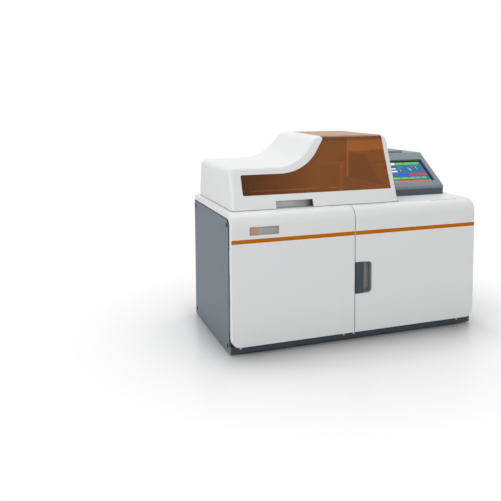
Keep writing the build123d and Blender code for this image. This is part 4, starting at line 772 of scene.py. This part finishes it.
def hoodGapShadowSpans(gapShadow):
    # black strip on the deck along the hood's foot, broken at the pads and at the finger notch: painted
    # shade, standing in for the shadow in the gap under the hood
    up, behind = (gapShadow["low"], gapShadow["high"]), gapShadow["front"] + gapShadow["wide"]
    spans = [(run, (gapShadow["front"], behind), up) for run in gapShadow["runs"]]
    for along in ((gapShadow["left"], gapShadow["left"] + gapShadow["wide"]), (gapShadow["right"] - gapShadow["wide"], gapShadow["right"])):
        spans.append((along, (behind, gapShadow["rear"]), up))
    return spans


# painted shade in the gap between the hood and the deck
carry(boxes("hoodGapShadow", hoodGapShadowSpans(hoodGapShadow)), "cabinet", "black_rubber", finish=finishes["rubber"])
print("hood lip laid")

fanGuard = {
    "centre": (-0.275, 0.297), "face": 0.234, "wire": 0.0009, "wireSides": 8,
    "rings": 4, "first": 0.008, "pitch": 0.0095, "ringSides": 56, "ringLift": 3.0,
    "spokes": 4, "spokeReach": 0.0405, "spokeLift": 1.1, "screwReach": 0.0357, "screw": (0.0034, 0.0016),
}


def guardTree(plan):
    # rings of wire on straight spokes; both lifts are in radii of the wire
    tree = Growth("wireGuard", {"Rings": "Int", "First": "Float", "Pitch": "Float", "Wire": "Float",
                                "Spokes": "Int", "Reach": "Float", "Finish": "Material"})
    number = tree.put("InputIndex")
    wire = tree.take("Wire")
    section = tree.put("CurvePrimitiveCircle", None, {"Resolution": plan["wireSides"], "Radius": wire})
    ring = tree.put("CurvePrimitiveCircle", None, {"Resolution": plan["ringSides"], "Radius": 1.0})
    grown = tree.take("First") + number * tree.take("Pitch")
    rings = tree.scatter(tree.row(tree.take("Rings")), ring, Scale=tree.vector(grown, grown, 1.0))
    rings = tree.put("RealizeInstances", None, {"Geometry": rings})
    rings = tree.put("CurveToMesh", None, {"Curve": rings, "Profile Curve": section})
    rings = tree.move(rings, tree.vector(0.0, 0.0, wire * plan["ringLift"]))
    reach = tree.take("Reach")
    spoke = tree.put("CurvePrimitiveLine", None, {"Start": tree.vector(0.0 - reach, 0.0, 0.0),
                                                  "End": tree.vector(reach, 0.0, 0.0)})
    turn = tree.vector(0.0, 0.0, (number + 0.5) * math.pi / tree.take("Spokes"))
    spokes = tree.scatter(tree.row(tree.take("Spokes")), spoke, Rotation=turn)
    spokes = tree.put("RealizeInstances", None, {"Geometry": spokes})
    spokes = tree.put("CurveToMesh", None, {"Curve": spokes, "Profile Curve": section, "Fill Caps": True})
    spokes = tree.move(spokes, tree.vector(0.0, 0.0, wire * plan["spokeLift"]))
    both = tree.put("JoinGeometry", None, {"Geometry": [rings, spokes]})
    return tree.deliver(tree.put("SetShadeSmooth", None, {"Geometry": both}))


def standUp(piece, turn, shift):
    # a piece that was made flat at the origin takes its place in its own mesh
    piece.data.transform(Matrix.Translation(shift) @ turn)
    piece.data.update()
    return piece


guard = grow(newPiece("fanGuard", meshFrom("fanGuard", [(0, 0, 0)])), guardTree(fanGuard), {
    "Rings": fanGuard["rings"], "First": fanGuard["first"], "Pitch": fanGuard["pitch"],
    "Wire": fanGuard["wire"], "Spokes": fanGuard["spokes"], "Reach": fanGuard["spokeReach"],
    "Finish": finishes["wire"].material})
fanX, fanZ = fanGuard["centre"]
standUp(guard, Matrix.Rotation(math.radians(-90), 4, "X"), (fanX, fanGuard["face"], fanZ))
carry(guard, "cabinet", "steel")
reach, face = fanGuard["screwReach"], fanGuard["face"]
fanSpots = [("rear", (fanX + x, face, fanZ + z)) for x in (-reach, reach) for z in (-reach, reach)]
screws("fanScrews", fanSpots, fanGuard["screw"], "screw")
print("fan guard fitted")

blankPlate = {"low": (-0.062, 0.2340, 0.262), "size": (0.096, 0.0006, 0.048), "corner": 0.004, "steps": 5,
              "rivet": (0.0016, 0.0007), "rivetInset": 0.005}


def roundedPlate(name, plate):
    # flat plate in the XZ plane with round corners
    low, size, corner, steps = plate["low"], plate["size"], plate["corner"], plate["steps"]
    points = []
    for centre, start in (((1, 0), -90), ((1, 1), 0), ((0, 1), 90), ((0, 0), 180)):
        bendX = low[0] + corner + centre[0] * (size[0] - 2 * corner)
        bendZ = low[2] + corner + centre[1] * (size[2] - 2 * corner)
        for step in range(steps + 1):
            angle = math.radians(start + 90 * step / steps)
            points.append((bendX + corner * math.cos(angle), bendZ + corner * math.sin(angle)))
    count = len(points)
    verts = [(x, low[1], z) for x, z in points] + [(x, low[1] + size[1], z) for x, z in points]
    faces = [tuple(range(count)), tuple(range(2 * count - 1, count - 1, -1))]
    faces += [(i, i + count, (i + 1) % count + count, (i + 1) % count) for i in range(count)]
    return newPiece(name, meshFrom(name, verts, faces))


carry(roundedPlate("rearPlate", blankPlate), "cabinet", "badge_metal", finish=finishes["plate"])
low, size, inset = blankPlate["low"], blankPlate["size"], blankPlate["rivetInset"]
rivetSpots = [("rear", (x, low[1] + size[1], low[2] + size[2] / 2))
              for x in (low[0] + inset, low[0] + size[0] - inset)]
screws("plateRivets", rivetSpots, blankPlate["rivet"], "paleScrew")
print("rear plate riveted")

figureRings = {
    "sample": {"top": 0.4321, "count": 24, "reach": 0.0742, "height": 0.0046, "every": 1},
    "reaction": {"top": 0.4321, "count": 40, "reach": 0.0790, "height": 0.0040, "every": 5},
}


def numberRing(name, disk, ring):
    # place numbers round a disk, each standing with its foot towards the hub
    centreX, centreY = disk["centre"]
    reach, top = ring["reach"], ring["top"]
    joined = bmesh.new()
    for number in range(0, ring["count"], ring["every"]):
        words = bpy.data.curves.new("figure", "FONT")
        words.body = str(number + 1)
        words.size = ring["height"] * 1.4  # a figure is about 0.7 of its font's size tall
        words.align_x, words.align_y = "CENTER", "CENTER"
        words.resolution_u = 3
        holder = bpy.data.objects.new("figure", words)
        bpy.context.scene.collection.objects.link(holder)
        flat = settle(holder)
        angle = 2 * math.pi * number / ring["count"]
        spot = (centreX + reach * math.cos(angle), centreY + reach * math.sin(angle), top)
        flat.data.transform(Matrix.Translation(spot) @ Matrix.Rotation(angle - math.pi / 2, 4, "Z"))
        joined.from_mesh(flat.data)
        bpy.data.objects.remove(flat)
    mesh = bpy.data.meshes.new(name)
    joined.to_mesh(mesh)
    joined.free()
    return carry(newPiece(name, mesh), disk["body"], slotOf["cuvettes"], finish=finishes["print"])


numberRing("samplePlaceNumbers", disks["sample"], figureRings["sample"])
numberRing("cuvetteNumbers", disks["reaction"], figureRings["reaction"])
print("disk numbers printed")

fills = {
    "serum": {"disk": "sample", "reach": 0.088, "count": 24, "low": 0.4128, "width": 0.0112, "height": 0.0150,
              "sides": 20, "node": "sample_vessels"},
    "reagent": {"disk": "reaction", "reach": 0.090, "count": 40, "low": 0.4108, "width": 0.0056,
                "height": 0.0130, "sides": 4, "node": "cuvettes"},
}


def fillTree():
    # a column of liquid in every cup of a ring
    tree = Growth("ringFill", {"Count": "Int", "Ring": "Float", "Sides": "Int", "Size": "Vector",
                               "Finish": "Material"})
    number = tree.put("InputIndex")
    angle = number * (2 * math.pi) / tree.take("Count")
    reach = tree.take("Ring")
    spot = tree.vector(angle.maths("COSINE", angle) * reach, angle.maths("SINE", angle) * reach, 0.0)
    spread = tree.put("SetPosition", None, {"Geometry": tree.row(tree.take("Count")), "Position": spot})
    column = tree.put("MeshCylinder", None, {"Vertices": tree.take("Sides"), "Radius": 0.5, "Depth": 1.0})
    column = tree.put("Transform", None, {"Geometry": column, "Translation": (0.0, 0.0, 0.5),
                                          "Rotation": (0.0, 0.0, math.pi / 4)})
    turn = tree.vector(0.0, 0.0, angle)
    return tree.deliver(tree.scatter(spread, column, Rotation=turn, Scale=tree.take("Size")))


ringFill = fillTree()
for name, fill in fills.items():
    disk = disks[fill["disk"]]
    across = fill["width"]
    if fill["sides"] == 4:
        across *= math.sqrt(2)  # a square column's width is measured across its flats
    column = grow(newPiece(name + "Fill", meshFrom(name + "Fill", [(0, 0, 0)])), ringFill, {
        "Count": fill["count"], "Ring": fill["reach"], "Sides": fill["sides"],
        "Size": (across, across, fill["height"]), "Finish": finishes[name].material})
    standUp(column, Matrix.Identity(4), (*disk["centre"], fill["low"]))
    carry(column, disk["body"], slotOf[fill["node"]])
print("cups filled")

boardRow = {"face": -0.0317, "start": (-0.112, 0.266), "pitch": 0.0195, "count": 12, "sides": 20,
            "radius": 0.0045, "length": 0.0090, "lid": 0.1, "lidTop": 0.84}


def rowTree(row):
    # a straight row of small round cans with a rolled top
    tree = Growth("canRow", {"Count": "Int", "Pitch": "Float", "Radius": "Float", "Length": "Float",
                             "Finish": "Material"})
    radius, length = tree.take("Radius"), tree.take("Length")
    line = tree.row(tree.take("Count"), tree.vector(0.0, tree.take("Pitch"), 0.0))
    wall = length * (1 - row["lid"])
    can = tree.put("MeshCylinder", None, {"Vertices": row["sides"], "Radius": radius, "Depth": wall})
    can = tree.move(can, tree.vector(0.0, 0.0, wall * 0.5))
    lid = tree.put("MeshCone", None, {"Vertices": row["sides"], "Radius Top": radius * row["lidTop"],
                                      "Radius Bottom": radius, "Depth": length * row["lid"]})
    lid = tree.move(lid, tree.vector(0.0, 0.0, wall))
    both = tree.put("JoinGeometry", None, {"Geometry": [can, lid]})
    return tree.deliver(tree.scatter(line, both, Rotation=(0.0, -math.pi / 2, 0.0)))


cans = grow(newPiece("boardCans", meshFrom("boardCans", [(0, 0, 0)])), rowTree(boardRow), {
    "Count": boardRow["count"], "Pitch": boardRow["pitch"], "Radius": boardRow["radius"],
    "Length": boardRow["length"], "Finish": finishes["capacitor"].material})
standUp(cans, Matrix.Identity(4), (boardRow["face"], *boardRow["start"]))
carry(cans, "cabinet", "black_plastic")
print("board fitted out")

studio = {"eye": (-0.960, -2.157, 0.767), "yaw": 21.85, "pitch": 5.05, "focalPixels": 687.4, "frame": 501.0,
          "shift": (-0.1098, -0.1806), "clip": (0.05, 60.0), "ambient": 0.44, "backdrop": 1.0}
eye = bpy.data.cameras.new("studioCamera")
eye.lens = studio["focalPixels"] * eye.sensor_width / studio["frame"]
eye.shift_x, eye.shift_y = studio["shift"]
eye.clip_start, eye.clip_end = studio["clip"]
camera = bpy.data.objects.new("studioCamera", eye)
camera.location = studio["eye"]
camera.rotation_euler = (math.radians(90 - studio["pitch"]), 0.0, math.radians(-studio["yaw"]))
bpy.context.scene.collection.objects.link(camera)
bpy.context.scene.camera = camera

lamps = {
    "overheadSoftbox": {"place": (0.1, 0.7, 3.1), "aim": (0.0, 0.0, 0.3), "size": (3.0, 2.0), "watts": 46.0},
    "leftSoftbox": {"place": (-3.0, -1.0, 1.5), "aim": (0.0, 0.0, 0.4), "size": (1.8, 2.2), "watts": 32.0},
    "frontFill": {"place": (0.8, -3.6, 1.6), "aim": (0.0, 0.0, 0.3), "size": (2.8, 2.0), "watts": 26.0},
}
for name, lamp in lamps.items():
    light = bpy.data.lights.new(name, "AREA")
    light.shape = "RECTANGLE"
    light.size, light.size_y = lamp["size"]
    light.energy = lamp["watts"]
    holder = bpy.data.objects.new(name, light)
    holder.location = lamp["place"]
    holder.rotation_euler = (Vector(lamp["aim"]) - Vector(lamp["place"])).to_track_quat("-Z", "Y").to_euler()
    bpy.context.scene.collection.objects.link(holder)

world = bpy.data.worlds.new("studioWorld")
bpy.context.scene.world = world
world.use_nodes = True
sky = Tree(world.node_tree)
sky.nodes.clear()
rayKinds = ("Is Camera Ray", "Is Glossy Ray", "Is Transmission Ray")
seen, glossy, through = [sky.put("LightPath", outlet=kind) for kind in rayKinds]
bright = seen.maths("MAXIMUM", seen, glossy.maths("MAXIMUM", glossy, through))
white = (1.0, 1.0, 1.0)
ambient = sky.put("Background", None, {"Color": white, "Strength": studio["ambient"]})
backdrop = sky.put("Background", None, {"Color": white, "Strength": studio["backdrop"]})
skyMix = sky.put("MixShader", None, {0: bright, 1: ambient, 2: backdrop})
skyOut = sky.nodes.new("ShaderNodeOutputWorld")
sky.feed(skyOut.inputs[0], skyMix)

studioSheet = {
    "half": 9.0, "tints": ((0.86, 0.86, 0.865), (0.88, 0.88, 0.885)),
    # the cabinet's foot, how far its shade reaches, and how dark it is beside and under the cabinet
    "foot": (0.421, 0.214), "shadeReach": 0.26, "narrow": 3.0, "shade": 0.38, "under": 0.45,
    # the sheet turns into the white backdrop at a distance
    "fadeReach": (0.51, 0.50), "fadeSlope": 1.15, "fadeStart": -0.98,
}


def floorPaper(sheet):
    # pale sheet with a painted shadow that darkens it towards the cabinet's foot and most of all under it,
    # and ends in plain white
    skin = Finish("studioFloor")
    tint = skin.blend(skin.noise(0.8, 2.0), *sheet["tints"])
    beside = [place.maths("MAXIMUM", place.maths("ABSOLUTE", place) - limit, 0.0)
              for place, limit in zip((skin.x, skin.y), sheet["foot"])]
    apart = ((beside[0] * sheet["narrow"]) ** 2.0 + beside[1] ** 2.0) ** 0.5
    near = apart.maths("MAXIMUM", 1.0 - apart / sheet["shadeReach"], 0.0) ** 1.5
    under = 1.0 - (apart > 0.0)
    # painted shadow: near the cabinet and under it the floor's colour turns dark
    tint = skin.blend(sheet["shade"] * near + sheet["under"] * under, tint, (0.0, 0.0, 0.0))
    skin.set(Base_Color=tint, Roughness=0.26)
    away = ((skin.x / sheet["fadeReach"][0]) ** 2.0 + (skin.y / sheet["fadeReach"][1]) ** 2.0) ** 0.5
    fade = away.maths("MULTIPLY_ADD", away, sheet["fadeSlope"], sheet["fadeStart"]).clamp()
    cameraRay = skin.put("LightPath", outlet="Is Camera Ray")
    paper = skin.put("Emission", None, {"Color": white, "Strength": 1.0})
    lit = Wire(skin, skin.shader.outputs[0])
    skin.feed(skin.output.inputs[0], skin.put("MixShader", None, {0: fade * cameraRay, 1: lit, 2: paper}))
    return skin


half = studioSheet["half"]
corners = [(-half, -half, 0), (half, -half, 0), (half, half, 0), (-half, half, 0)]
floor = newPiece("studioFloor", meshFrom("studioFloor", corners, [(0, 1, 2, 3)]))
floor.data.materials.append(floorPaper(studioSheet).material)
floor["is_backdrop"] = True
bpy.context.scene.view_settings.view_transform = "Standard"
print("studio set")

low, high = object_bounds()
